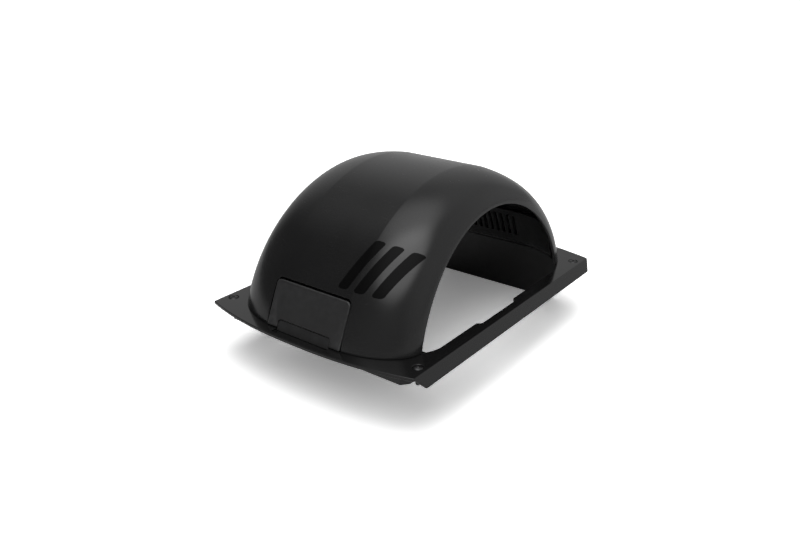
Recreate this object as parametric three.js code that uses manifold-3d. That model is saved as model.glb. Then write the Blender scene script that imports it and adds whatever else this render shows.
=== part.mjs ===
// Clip-on tyre fender for a one-wheeled board: a frame screwed to the deck round the tyre, and an arched
// shell that hinges on the frame's rear edge and latches at its front foot.
// Millimetres. +Z up, -Y front (release panel), +X right. The origin is under the middle of the tyre
// opening, level with the lower edge of the splash wall.
import * as THREE from 'three';
import { mergeVertices } from 'three/addons/utils/BufferGeometryUtils.js';
import Module from 'manifold-3d';

// Driving dimensions
const DECK = 57; // top of the frame's plate above the splash wall's lower edge
const GAP = 0.3; // clearance between pieces that touch
const CURVE_GAP = 0.5; // clearance between pieces that touch along the arch
const WALL = 2.8; // moulded wall of the shell

// Frame
const PLATE_HALF_WIDTH = 117.5;
const PLATE_CORNER_Y = 156.4; // where the curved ends meet the straight sides
const PLATE_END_Y = 171.5; // furthest point of the curved ends
const PLATE_END_POWER = 2.4; // shape of the ends: flat in the middle, swept back at the corners
const PLATE_THICKNESS = 3;
const WING_OUT = 6.6; // the side wings run outward by this much
const WING_DROP = 10.6; // while they drop by this much
const WING_END_INSET = 9.9; // their lower edges are this much shorter at each end
const WING_THICKNESS = 2.6;
const OPENING_HALF_WIDTH = 104.7;
const OPENING_CORNER_Y = 100; // where the opening's sides start to curve in
const OPENING_FRONT_Y = 144.5;
const OPENING_REAR_Y = 154.5;
const AXLE_NOTCH_DEPTH = 4; // notch in each side of the opening, beside the wheel's axle
const AXLE_NOTCH_HALF_LENGTH = 29;
const AXLE_NOTCH_Y = -12.5;
const SKIRT_DROP = 15.9;
const SKIRT_FACE_Y = 150;
const SKIRT_FACE_HALF_WIDTH = 98.9;
const SKIRT_HALF_WIDTH = 104.5;
const SKIRT_CHAMFER = 7;
const SKIRT_THICKNESS = 2.7;
const SKIRT_RETURN_Y = 112; // the skirt's side walls end here

// Deck screws
const SCREW_X = 109.2;
const SCREW_Y = 139.5;
const SCREW_HOLE_RADIUS = 2.75;
const SCREW_SEAT_RADIUS = 4.7;
const SCREW_SEAT_DEPTH = 1.6;
const SCREW_HEAD_RADIUS = 4.2;
const SCREW_SHANK_RADIUS = 2.1;
const SCREW_SHANK_LENGTH = 16;
const SCREW_SOCKET_RADIUS = 1.5;
const SCREW_PLACES = [[-1, -1], [1, -1], [-1, 1], [1, 1]].map(([a, b]) => [a * SCREW_X, b * SCREW_Y]);

// Shell: every cross-section is flat in the middle and rounds over to a side edge on a smaller circle
const CROWN_RADIUS = 165.51;
const CROWN_CENTRE_Z = DECK - 44.71;
const RIM_RADIUS = 123.35;
const RIM_CENTRE_Z = DECK - 30.26;
const FLAT_HALF_WIDTH = 40.9;
const FOOT_HALF_WIDTH = 99.4;
const TOP_HALF_WIDTH = 91;
const ROUND_POWER = 1.8;

// Release panel, flat and tilted with the shell's front foot
const PANEL_TILT = THREE.MathUtils.degToRad(23.8);
const PANEL_FOOT_Y = -160.2;
const PANEL_FOOT_Z = DECK + 0.8;
const PANEL_HALF_WIDTH = 42.5;
const PANEL_HEIGHT = 42.4;
const PANEL_THICKNESS = 3;
const PANEL_CORNER = 5;
const PANEL_BEVEL = 1; // along its top edge
const WINDOW_SIDE_GAP = 0.8;
const WINDOW_TOP_GAP = 2.8; // the panel's top edge swings up into this
const SCOOP_HALF_WIDTH = 30.6;
const SCOOP_HEIGHT = 7.6;
const SCOOP_CORNER = 3.5;
const PIVOT_UP = 38.4; // panel pivot, up the panel from its foot
const PIVOT_IN = 5.8; // and behind its face
const PANEL_PIN_RADIUS = 1.5;
const PANEL_PIN_HALF_LENGTH = 46.7;
const PANEL_LUG_X = 22; // the panel's two lugs on the pin
const PANEL_LUG_RADIUS = 3.1;
const PANEL_LUG_WIDTH = 10;
const SPRING_TURNS = 4.5;
const SPRING_RADIUS = 2.45; // to the middle of its wire
const SPRING_WIDTH = 8;
const SPRING_WIRE_RADIUS = 0.5;

// Latch housing: a tray behind the panel
const HOUSING_HALF_WIDTH = 47;
const HOUSING_WALL = 2.4;
const HOUSING_LOW = DECK + 0.7;
const HOUSING_TOP = DECK + 47;
const HOUSING_FOOT_Y = -142.3; // its back wall leans from here
const HOUSING_HEAD_Y = -128.4; // to here
const HOUSING_SCREWS = [[-30, 50.5], [30, 50.5], [-51, 13], [51, 13]]; // x, and height above the deck
const BOSS_RADIUS = 3.6;
const BOSS_BORE_RADIUS = 1.6;
const HOUSING_SCREW = { headRadius: 3.6, headHeight: 1.6, shankRadius: 1.2, shankLength: 4.2 };

// Latch: two hooks on the panel under two strikers on the frame
const LATCH_X = 37;
const HOOK_WIDTH = 7.5;
const STRIKER_WIDTH = 9;

// Rear hinge
const HINGE_Y = 164.5;
const HINGE_Z = DECK + 4.8;
const HINGE_PIN_RADIUS = 2;
const HINGE_PIN_HALF_LENGTH = 44;
const KNUCKLE_RADIUS = 4.2;
const KNUCKLES = [[-43, -35], [-13, 13], [35, 43]]; // the frame's knuckles, from x to x
const CLIP_X = 24;
const CLIP_WIDTH = 18;
const CLIP_THICKNESS = 2.5;
const CLIP_LOW = DECK + 7;
const CLIP_HIGH = DECK + 43;
const CLIP_MOUTH = 1.75; // half the slot that snaps over the pin
const CLIP_SCREWS = [-29, -19, 19, 29].map((x) => [x, 38.2]); // x, and height above the deck
const CLIP_HOLE_RADIUS = 1.8;
const CLIP_SCREW = { headRadius: 2.9, headHeight: 1.8, shankRadius: 1.5, shankLength: 8.4 };

// Slotted liner inside the shell's rear foot, from side to side
const RIB_PLATE_HALF_WIDTH = 87;
const RIB_PLATE_THICKNESS = 3;
const RIB_PLATE_LOW = DECK + 1;
const RIB_PLATE_HIGH = DECK + 42;
const RIB_SLOT_COUNT = 10;
const RIB_SLOT_PITCH = 7.5;
const RIB_SLOT_WIDTH = 3.9;
const RIB_SLOT_LOW = DECK + 9.5;
const RIB_SLOT_HIGH = DECK + 35;

// Splash wall below the rear of the frame
const SPLASH_THICKNESS = 2.8;
const SPLASH_TOP_HALF_WIDTH = 98.9;
const SPLASH_FOOT_HALF_WIDTH = 83;
const SPLASH_CORNER = 8;
const SPLASH_FLANGE = 12;
const SPLASH_FLANGE_HALF_WIDTH = 84;
const SPLASH_FLANGE_THICKNESS = 2.6;
const SPLASH_SCREW_X = [-66, -24, 24, 66];
const SPLASH_SCREW_Y = OPENING_REAR_Y + 8;
const SPLASH_HOLE_RADIUS = 1.7;
const SPLASH_PILOT_RADIUS = 1.5;
const SPLASH_SCREW = { headRadius: 2.8, headHeight: 1.8, shankRadius: 1.2, shankLength: 4.6 };
const GUSSET_X = [-45, 0, 45];
const GUSSET_THICKNESS = 2.4;

const wasm = await Module();
wasm.setup();

const AXIS_X = new THREE.Vector3(1, 0, 0);
const AXIS_Y = new THREE.Vector3(0, 1, 0);
const AXIS_Z = new THREE.Vector3(0, 0, 1);

const BLACK_SHELL = { color: 0x1b1b1d, roughness: 0.38, metalness: 0 };
const BLACK_FRAME = { color: 0x19191a, roughness: 0.42, metalness: 0 };
const GREY_PANEL = { color: 0x2a2a2c, roughness: 0.5, metalness: 0 };
const STEEL = { color: 0x8b8d90, roughness: 0.35, metalness: 1 };
const BLACK_STEEL = { color: 0x2c2d2f, roughness: 0.4, metalness: 0.9 };

// Geometry helpers -------------------------------------------------------------------------------

function solid(geometry) {
  const bare = geometry.clone();
  bare.deleteAttribute('normal');
  bare.deleteAttribute('uv');
  const merged = mergeVertices(bare, 1e-4);
  const vertProperties = new Float32Array(merged.attributes.position.array);
  const triVerts = new Uint32Array(merged.index.array);
  return new wasm.Manifold(new wasm.Mesh({ numProp: 3, vertProperties, triVerts }));
}

function geometryOf(manifold) {
  const mesh = manifold.getMesh();
  const geometry = new THREE.BufferGeometry();
  geometry.setAttribute('position', new THREE.BufferAttribute(new Float32Array(mesh.vertProperties), 3));
  geometry.setIndex(new THREE.BufferAttribute(new Uint32Array(mesh.triVerts), 1));
  geometry.computeVertexNormals();
  return geometry;
}

function shapeOf(points) {
  return new THREE.Shape(points.map(([a, b]) => new THREE.Vector2(a, b)));
}

function extruded(shape, depth, matrix) {
  const geometry = new THREE.ExtrudeGeometry(shape, { depth, bevelEnabled: false, curveSegments: 6 });
  return solid(geometry.applyMatrix4(matrix));
}

// outline in (y, z), from x0 to x1
function prismAlongX(points, x0, x1) {
  const matrix = new THREE.Matrix4().makeBasis(AXIS_Y, AXIS_Z, AXIS_X).setPosition(x0, 0, 0);
  return extruded(shapeOf(points), x1 - x0, matrix);
}

// outline in (x, z), from y0 to y1
function prismAlongY(shape, y0, y1) {
  const back = AXIS_Y.clone().negate();
  const matrix = new THREE.Matrix4().makeBasis(AXIS_X, AXIS_Z, back).setPosition(0, y1, 0);
  return extruded(shape, y1 - y0, matrix);
}

// outline in (x, y), from z0 to z1
function prismAlongZ(shape, z0, z1) {
  return extruded(shape, z1 - z0, new THREE.Matrix4().setPosition(0, 0, z0));
}

function block(x0, x1, y0, y1, z0, z1) {
  const geometry = new THREE.BoxGeometry(x1 - x0, y1 - y0, z1 - z0);
  return solid(geometry.translate((x0 + x1) / 2, (y0 + y1) / 2, (z0 + z1) / 2));
}

function rodAlongX(radius, x0, x1, y, z, segments = 20) {
  const geometry = new THREE.CylinderGeometry(radius, radius, x1 - x0, segments).rotateZ(-Math.PI / 2);
  return solid(geometry.translate((x0 + x1) / 2, y, z));
}

function rodAlongZ(radius, z0, z1, x, y, segments = 20) {
  const geometry = new THREE.CylinderGeometry(radius, radius, z1 - z0, segments).rotateX(Math.PI / 2);
  return solid(geometry.translate(x, y, (z0 + z1) / 2));
}

// a solid of revolution about its own Z, from (radius, height) points that start and end on the axis
function turned(profile, segments = 20) {
  const points = profile.map(([radius, height]) => new THREE.Vector2(radius, height));
  return new THREE.LatheGeometry(points, segments).rotateX(Math.PI / 2);
}

function roundedRectangle(x0, x1, z0, z1, topRadius, footRadius = 0) {
  const shape = new THREE.Shape();
  shape.moveTo(x0 + footRadius, z0);
  shape.lineTo(x1 - footRadius, z0);
  shape.quadraticCurveTo(x1, z0, x1, z0 + footRadius);
  shape.lineTo(x1, z1 - topRadius);
  shape.absarc(x1 - topRadius, z1 - topRadius, topRadius, 0, Math.PI / 2);
  shape.lineTo(x0 + topRadius, z1);
  shape.absarc(x0 + topRadius, z1 - topRadius, topRadius, Math.PI / 2, Math.PI);
  shape.lineTo(x0, z0 + footRadius);
  shape.quadraticCurveTo(x0, z0, x0 + footRadius, z0);
  return shape;
}

// The arch surface -------------------------------------------------------------------------------

// columns run across the arch: share of the flat middle, then share of the rounded side
function archColumns(flatSteps, roundSteps) {
  const half = [];
  for (let step = 1; step <= flatSteps; step += 1) {
    half.push({ flat: step / flatSteps, out: 0, crown: 1 });
  }
  for (let step = 1; step <= roundSteps; step += 1) {
    const angle = (step / roundSteps) * (Math.PI / 2);
    const out = step === roundSteps ? 1 : Math.sin(angle) ** (2 / ROUND_POWER);
    const crown = step === roundSteps ? 0 : Math.cos(angle) ** (2 / ROUND_POWER);
    half.push({ flat: 1, out, crown });
  }
  const right = half.map((column) => ({ ...column, side: 1 }));
  const left = half.map((column) => ({ ...column, side: -1 })).reverse();
  return [...left, { flat: 0, out: 0, crown: 1, side: 1 }, ...right];
}

// the point of the surface at angle theta (0 is the front, 180 degrees the rear), inset below the skin
function archPoint(column, theta, inset) {
  const taper = (TOP_HALF_WIDTH - FOOT_HALF_WIDTH) * Math.sin(theta) ** 2;
  const edge = FOOT_HALF_WIDTH + taper - inset;
  const radius = THREE.MathUtils.lerp(RIM_RADIUS, CROWN_RADIUS - inset, column.crown);
  const centre = THREE.MathUtils.lerp(RIM_CENTRE_Z, CROWN_CENTRE_Z, column.crown);
  return [
    column.side * (column.flat * FLAT_HALF_WIDTH + column.out * (edge - FLAT_HALF_WIDTH)),
    -radius * Math.cos(theta),
    centre + radius * Math.sin(theta),
  ];
}

// the angle at which a column reaches height z
function footAngle(column, z, inset) {
  const radius = THREE.MathUtils.lerp(RIM_RADIUS, CROWN_RADIUS - inset, column.crown);
  const centre = THREE.MathUtils.lerp(RIM_CENTRE_Z, CROWN_CENTRE_Z, column.crown);
  return Math.asin((z - centre) / radius);
}

function archGrid(columns, rows, inset, footZ) {
  const grid = [];
  for (let row = 0; row <= rows; row += 1) {
    grid.push(columns.map((column) => {
      const start = footAngle(column, footZ, inset);
      const theta = start + (Math.PI - 2 * start) * (row / rows);
      return archPoint(column, theta, inset);
    }));
  }
  return grid;
}

class Surface {
  constructor() {
    this.positions = [];
    this.indices = [];
  }

  point(position) {
    this.positions.push(...position);
    return this.positions.length / 3 - 1;
  }

  points(grid) {
    return grid.map((line) => line.map((position) => this.point(position)));
  }

  quad(a, b, c, d) {
    this.indices.push(a, b, c, a, c, d);
  }

  // a strip between two lines of equal length
  strip(lower, upper) {
    for (let i = 0; i + 1 < lower.length; i += 1) {
      this.quad(lower[i], lower[i + 1], upper[i + 1], upper[i]);
    }
  }

  fan(centre, line) {
    for (let i = 0; i + 1 < line.length; i += 1) {
      this.indices.push(centre, line[i], line[i + 1]);
    }
  }

  solid() {
    const geometry = new THREE.BufferGeometry();
    geometry.setAttribute('position', new THREE.Float32BufferAttribute(this.positions, 3));
    geometry.setIndex(this.indices);
    return solid(geometry);
  }
}

// the shell's skin: an outer and an inner surface joined round the rim
function archSkin(columns, rows) {
  const footZ = DECK + GAP;
  const surface = new Surface();
  const outer = surface.points(archGrid(columns, rows, 0, footZ));
  const inner = surface.points(archGrid(columns, rows, WALL, footZ));
  const last = columns.length - 1;
  for (let row = 0; row < rows; row += 1) {
    surface.strip(outer[row], outer[row + 1]);
    surface.strip(inner[row + 1], inner[row]);
  }
  surface.strip(inner[0], outer[0]);
  surface.strip(outer[rows], inner[rows]);
  surface.strip(outer.map((line) => line[0]), inner.map((line) => line[0]));
  surface.strip(inner.map((line) => line[last]), outer.map((line) => line[last]));
  return surface.solid();
}

// everything inside the surface at this inset, above footZ: pieces are cut to the shell's curve with it
function archCore(inset, footZ) {
  const columns = archColumns(2, 8);
  const rows = 30;
  const surface = new Surface();
  const grid = surface.points(archGrid(columns, rows, inset, footZ));
  const last = columns.length - 1;
  const left = surface.point([-TOP_HALF_WIDTH + inset, 0, footZ]);
  const right = surface.point([TOP_HALF_WIDTH - inset, 0, footZ]);
  for (let row = 0; row < rows; row += 1) {
    surface.strip(grid[row], grid[row + 1]);
  }
  surface.fan(left, grid.map((line) => line[0]));
  surface.fan(right, grid.map((line) => line[last]).reverse());
  surface.fan(right, [...[...grid[0]].reverse(), left]);
  surface.fan(left, [...grid[rows], right]);
  return surface.solid();
}

// a layer that follows the shell's inside, from one inset to another
function archLayer(insetOut, insetIn, footZ) {
  return archCore(insetOut, footZ).subtract(archCore(insetIn, footZ - 1));
}

// a frame on the shell's surface with X across, Y up the surface and Z outward
function surfaceFrame(x, theta, inset) {
  const up = new THREE.Vector3(0, Math.sin(theta), Math.cos(theta));
  const out = new THREE.Vector3(0, -Math.cos(theta), Math.sin(theta));
  const edge = FOOT_HALF_WIDTH + (TOP_HALF_WIDTH - FOOT_HALF_WIDTH) * Math.sin(theta) ** 2 - inset;
  const over = Math.max(0, (Math.abs(x) - FLAT_HALF_WIDTH) / (edge - FLAT_HALF_WIDTH));
  const crown = (1 - over ** ROUND_POWER) ** (1 / ROUND_POWER);
  const radius = THREE.MathUtils.lerp(RIM_RADIUS, CROWN_RADIUS - inset, crown);
  const centre = THREE.MathUtils.lerp(RIM_CENTRE_Z, CROWN_CENTRE_Z, crown);
  const matrix = new THREE.Matrix4().makeBasis(AXIS_X, up, out);
  return matrix.setPosition(x, -radius * Math.cos(theta), centre + radius * Math.sin(theta));
}

// Frame ------------------------------------------------------------------------------------------

function plateOutline() {
  const steps = 24;
  const end = [];
  for (let step = 0; step <= steps; step += 1) {
    const x = -PLATE_HALF_WIDTH + (2 * PLATE_HALF_WIDTH * step) / steps;
    const sweep = (Math.abs(x) / PLATE_HALF_WIDTH) ** PLATE_END_POWER;
    end.push([x, -PLATE_END_Y + (PLATE_END_Y - PLATE_CORNER_Y) * sweep]);
  }
  return shapeOf([...end, ...end.map(([x, y]) => [-x, -y])]);
}

function openingOutline() {
  const steps = 8;
  const corner = (side, end) => {
    const points = [];
    const reach = end < 0 ? OPENING_FRONT_Y : OPENING_REAR_Y;
    for (let step = 0; step <= steps; step += 1) {
      const angle = (step / steps) * (Math.PI / 2);
      const out = Math.max(0, Math.cos(angle)) ** (2 / ROUND_POWER);
      const on = Math.max(0, Math.sin(angle)) ** (2 / ROUND_POWER);
      const x = FLAT_HALF_WIDTH + (OPENING_HALF_WIDTH - FLAT_HALF_WIDTH) * out;
      const y = OPENING_CORNER_Y + (reach - OPENING_CORNER_Y) * on;
      points.push([side * x, end * y]);
    }
    return points;
  };
  const notch = (side) => [-1, 1].flatMap((end) => {
    const y = AXLE_NOTCH_Y + end * AXLE_NOTCH_HALF_LENGTH;
    const low = [side * OPENING_HALF_WIDTH, y + end * AXLE_NOTCH_DEPTH];
    const deep = [side * (OPENING_HALF_WIDTH + AXLE_NOTCH_DEPTH), y];
    return end < 0 ? [low, deep] : [deep, low];
  });
  return shapeOf([
    ...corner(1, -1).reverse(),
    ...notch(1),
    ...corner(1, 1),
    ...corner(-1, 1).reverse(),
    ...notch(-1).reverse(),
    ...corner(-1, -1),
  ]);
}

// the sloped wing along the right side
function wing() {
  const length = Math.hypot(WING_OUT, WING_DROP);
  const up = new THREE.Vector3(-WING_OUT, 0, WING_DROP).normalize();
  const out = AXIS_Y.clone().cross(up);
  const corner = new THREE.Vector3(PLATE_HALF_WIDTH, 0, DECK);
  corner.addScaledVector(out, -WING_THICKNESS);
  const matrix = new THREE.Matrix4().makeBasis(AXIS_Y, up, out).setPosition(corner);
  const low = PLATE_CORNER_Y - WING_END_INSET;
  const outline = shapeOf([[-low, -length], [low, -length], [PLATE_CORNER_Y, 0], [-PLATE_CORNER_Y, 0]]);
  return new THREE.ExtrudeGeometry(outline, { depth: WING_THICKNESS, bevelEnabled: false })
    .applyMatrix4(matrix);
}

// the front skirt with its chamfered corners and short side walls, as seen from above
function skirtOutline(inset) {
  const x = SKIRT_HALF_WIDTH - inset;
  const faceX = SKIRT_FACE_HALF_WIDTH - inset * 0.5;
  const y = -SKIRT_FACE_Y + inset;
  return shapeOf([
    [-faceX, y],
    [faceX, y],
    [x, y + SKIRT_CHAMFER],
    [x, -SKIRT_RETURN_Y + inset * 2],
    [-x, -SKIRT_RETURN_Y + inset * 2],
    [-x, y + SKIRT_CHAMFER],
  ]);
}

function skirt() {
  const low = DECK - SKIRT_DROP;
  const high = DECK - PLATE_THICKNESS / 2;
  const outer = prismAlongZ(skirtOutline(0), low, high);
  return outer.subtract(prismAlongZ(skirtOutline(SKIRT_THICKNESS), low - 1, high + 1));
}

// an upright post whose nose reaches over a hook; its underside is square to the hook's path
function striker(x) {
  const outline = [
    [-147.5, DECK - 1],
    [-144.5, DECK - 1],
    [-144.5, DECK + 11.5],
    [-147.8, DECK + 11.5],
    [-150.6, DECK + 9],
    [-150.6, DECK + 7.6],
    [-147.5, DECK + 6.7],
  ];
  return prismAlongX(outline, x - STRIKER_WIDTH / 2, x + STRIKER_WIDTH / 2);
}

// a hinge knuckle that stands on the plate's rear edge
function knuckle(x0, x1) {
  const foot = block(x0, x1, HINGE_Y - KNUCKLE_RADIUS, HINGE_Y + KNUCKLE_RADIUS, DECK - 1, HINGE_Z);
  return rodAlongX(KNUCKLE_RADIUS, x0, x1, HINGE_Y, HINGE_Z).add(foot);
}

function baseFrame() {
  const outline = plateOutline();
  outline.holes.push(openingOutline());
  let frame = prismAlongZ(outline, DECK - PLATE_THICKNESS, DECK);
  frame = frame.add(solid(wing())).add(solid(wing().rotateZ(Math.PI)));
  frame = frame.add(skirt());
  for (const side of [-1, 1]) {
    frame = frame.add(striker(side * LATCH_X));
  }
  for (const [x0, x1] of KNUCKLES) {
    frame = frame.add(knuckle(x0, x1));
  }
  frame = frame.subtract(rodAlongX(HINGE_PIN_RADIUS + GAP, -60, 60, HINGE_Y, HINGE_Z));
  for (const [x, y] of SCREW_PLACES) {
    frame = frame.subtract(rodAlongZ(SCREW_HOLE_RADIUS, DECK - 5, DECK + 1, x, y));
    frame = frame.subtract(rodAlongZ(SCREW_SEAT_RADIUS, DECK - SCREW_SEAT_DEPTH, DECK + 1, x, y));
  }
  for (const x of SPLASH_SCREW_X) {
    frame = frame.subtract(rodAlongZ(SPLASH_PILOT_RADIUS, DECK - 4, DECK - 0.9, x, SPLASH_SCREW_Y, 12));
  }
  return frame;
}

// button-head screw in its seat, with a hexagon socket
function deckScrew() {
  const seat = -SCREW_SEAT_DEPTH + GAP;
  const body = turned([
    [0, -SCREW_SHANK_LENGTH],
    [SCREW_SHANK_RADIUS - 0.5, -SCREW_SHANK_LENGTH],
    [SCREW_SHANK_RADIUS, -SCREW_SHANK_LENGTH + 1],
    [SCREW_SHANK_RADIUS, seat],
    [SCREW_HEAD_RADIUS, seat],
    [SCREW_HEAD_RADIUS, -0.7],
    [SCREW_HEAD_RADIUS - 0.7, 0.1],
    [SCREW_HEAD_RADIUS / 2, 0.6],
    [0, 0.75],
  ]);
  const socket = new THREE.CylinderGeometry(SCREW_SOCKET_RADIUS, SCREW_SOCKET_RADIUS, 3, 6);
  socket.rotateX(Math.PI / 2).translate(0, 0, 0.6);
  return geometryOf(solid(body).subtract(solid(socket)));
}

function splashWall() {
  const top = DECK - PLATE_THICKNESS - GAP;
  const front = OPENING_REAR_Y;
  const back = front + SPLASH_THICKNESS;
  const outline = new THREE.Shape();
  outline.moveTo(-SPLASH_FOOT_HALF_WIDTH + SPLASH_CORNER, 0);
  outline.lineTo(SPLASH_FOOT_HALF_WIDTH - SPLASH_CORNER, 0);
  outline.quadraticCurveTo(SPLASH_FOOT_HALF_WIDTH, 0, SPLASH_FOOT_HALF_WIDTH + 2, SPLASH_CORNER);
  outline.lineTo(SPLASH_TOP_HALF_WIDTH, DECK - SKIRT_DROP);
  outline.lineTo(SPLASH_TOP_HALF_WIDTH, top);
  outline.lineTo(-SPLASH_TOP_HALF_WIDTH, top);
  outline.lineTo(-SPLASH_TOP_HALF_WIDTH, DECK - SKIRT_DROP);
  outline.lineTo(-SPLASH_FOOT_HALF_WIDTH - 2, SPLASH_CORNER);
  outline.quadraticCurveTo(-SPLASH_FOOT_HALF_WIDTH, 0, -SPLASH_FOOT_HALF_WIDTH + SPLASH_CORNER, 0);
  let wall = prismAlongY(outline, front, back);
  const flangeX = SPLASH_FLANGE_HALF_WIDTH;
  wall = wall.add(block(-flangeX, flangeX, front, front + SPLASH_FLANGE, top - SPLASH_FLANGE_THICKNESS, top));
  for (const x of SPLASH_SCREW_X) {
    wall = wall.subtract(rodAlongZ(SPLASH_HOLE_RADIUS, top - 4, top + 1, x, SPLASH_SCREW_Y, 12));
  }
  const gusset = [[back + 8, top - 2], [back, top - 14], [back - 1, top - 14], [back - 1, top - 1]];
  for (const x of GUSSET_X) {
    wall = wall.add(prismAlongX(gusset, x - GUSSET_THICKNESS / 2, x + GUSSET_THICKNESS / 2));
  }
  return wall;
}

// pan-head screw with its head at z = 0 and its shank along +Z
function smallScrew({ headRadius, headHeight, shankRadius, shankLength }) {
  return turned([
    [0, -headHeight],
    [headRadius * 0.7, -headHeight],
    [headRadius, -headHeight * 0.6],
    [headRadius, 0],
    [shankRadius, 0],
    [shankRadius, shankLength - 0.6],
    [shankRadius * 0.6, shankLength],
    [0, shankLength],
  ], 14);
}

// Shell ------------------------------------------------------------------------------------------

const panelFrame = new THREE.Matrix4()
  .makeBasis(
    AXIS_X,
    new THREE.Vector3(0, Math.sin(PANEL_TILT), Math.cos(PANEL_TILT)),
    new THREE.Vector3(0, -Math.cos(PANEL_TILT), Math.sin(PANEL_TILT)),
  )
  .setPosition(0, PANEL_FOOT_Y, PANEL_FOOT_Z);

// a point given up the panel and behind its face
function panelPoint(up, behind) {
  return new THREE.Vector3(0, up, -behind).applyMatrix4(panelFrame);
}

const pivot = panelPoint(PIVOT_UP, PIVOT_IN);

// an outline in the panel's plane, from a depth behind its face to a nearer one
function panelPrism(shape, farDepth, nearDepth) {
  const matrix = panelFrame.clone().multiply(new THREE.Matrix4().setPosition(0, 0, -farDepth));
  return extruded(shape, farDepth - nearDepth, matrix);
}

// the matrix of a screw that points outward at height z above the deck, on the shell's inside
function wallFrame(x, height, inset, rear = false) {
  const base = Math.asin((DECK + height - CROWN_CENTRE_Z) / CROWN_RADIUS);
  return surfaceFrame(x, rear ? Math.PI - base : base, inset);
}

function archShell() {
  let shell = archSkin(archColumns(2, 8), 34);
  const window = roundedRectangle(
    -PANEL_HALF_WIDTH - WINDOW_SIDE_GAP,
    PANEL_HALF_WIDTH + WINDOW_SIDE_GAP,
    -8,
    PANEL_HEIGHT + WINDOW_TOP_GAP,
    PANEL_CORNER + WINDOW_SIDE_GAP,
  );
  shell = shell.subtract(panelPrism(window, 12, -8));
  for (const [x, height] of HOUSING_SCREWS) {
    shell = shell.add(boss(x, height));
  }
  for (const [x, height] of CLIP_SCREWS) {
    shell = shell.subtract(hole(x, height, CLIP_HOLE_RADIUS, true));
  }
  return shell;
}

// a blind screw boss on the shell's inside
function boss(x, height) {
  const frame = wallFrame(x, height, WALL);
  const post = new THREE.CylinderGeometry(BOSS_RADIUS - 0.4, BOSS_RADIUS, 6.5, 14);
  post.rotateX(Math.PI / 2).translate(0, 0, -2);
  const bore = new THREE.CylinderGeometry(BOSS_BORE_RADIUS, BOSS_BORE_RADIUS, 6, 12);
  bore.rotateX(Math.PI / 2).translate(0, 0, -2.8);
  const body = solid(post.applyMatrix4(frame)).intersect(archCore(1, DECK));
  return body.subtract(solid(bore.applyMatrix4(frame)));
}

function hole(x, height, radius, rear) {
  const frame = wallFrame(x, height, WALL, rear);
  const rod = new THREE.CylinderGeometry(radius, radius, 24, 14).rotateX(Math.PI / 2);
  return solid(rod.applyMatrix4(frame));
}

// Release lever ----------------------------------------------------------------------------------

function releasePanel() {
  const outline = roundedRectangle(-PANEL_HALF_WIDTH, PANEL_HALF_WIDTH, 0, PANEL_HEIGHT, PANEL_CORNER);
  const cut = roundedRectangle(-SCOOP_HALF_WIDTH, SCOOP_HALF_WIDTH, -4, SCOOP_HEIGHT, SCOOP_CORNER);
  let panel = panelPrism(outline, PANEL_THICKNESS, 0).subtract(panelPrism(cut, 20, -4));
  for (const x of [-PANEL_LUG_X, PANEL_LUG_X]) {
    const half = PANEL_LUG_WIDTH / 2;
    panel = panel.add(rodAlongX(PANEL_LUG_RADIUS, x - half, x + half, pivot.y, pivot.z));
  }
  panel = panel.subtract(rodAlongX(PANEL_PIN_RADIUS + GAP, -60, 60, pivot.y, pivot.z, 16));
  const springPocket = roundedRectangle(-6.5, 6.5, 24, PANEL_HEIGHT + 3, 1);
  panel = panel.subtract(panelPrism(springPocket, 20, 1.5));
  const bevel = [
    panelPoint(PANEL_HEIGHT - PANEL_BEVEL, -0.1),
    panelPoint(PANEL_HEIGHT + 1, -0.1),
    panelPoint(PANEL_HEIGHT + 1, PANEL_BEVEL + 1),
  ];
  panel = panel.subtract(prismAlongX(bevel.map(({ y, z }) => [y, z]), -60, 60));
  panel = panel.subtract(block(-60, 60, -170, -140, DECK - 10, DECK + 0.5));
  for (const side of [-1, 1]) {
    const back = panelPoint(8.2, PANEL_THICKNESS - 1);
    const foot = panelPoint(2, PANEL_THICKNESS - 1);
    const hook = [
      [foot.y, foot.z],
      [-148.8, DECK + 1.4],
      [-148.2, DECK + 2],
      [-148.2, DECK + 5.9],
      [-151.2, DECK + 6.8],
      [back.y, back.z],
    ];
    const x = side * LATCH_X;
    panel = panel.add(prismAlongX(hook, x - HOOK_WIDTH / 2, x + HOOK_WIDTH / 2));
  }
  return panel;
}

// the dished insert behind the panel's lower edge, for a fingertip
function fingerScoop() {
  const width = SCOOP_HALF_WIDTH + 1;
  const outline = roundedRectangle(-width, width, -4, SCOOP_HEIGHT + 3, 2);
  const body = panelPrism(outline, 10, PANEL_THICKNESS + GAP);
  const dish = new THREE.CylinderGeometry(1, 1, 2 * SCOOP_HALF_WIDTH - 1, 24)
    .rotateZ(-Math.PI / 2)
    .scale(1, 9.5, 5.4)
    .translate(0, -0.6, -PANEL_THICKNESS)
    .applyMatrix4(panelFrame);
  const aboveDeck = block(-60, 60, -170, -130, DECK + 0.7, DECK + 30);
  return body.subtract(solid(dish)).intersect(aboveDeck);
}

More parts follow.
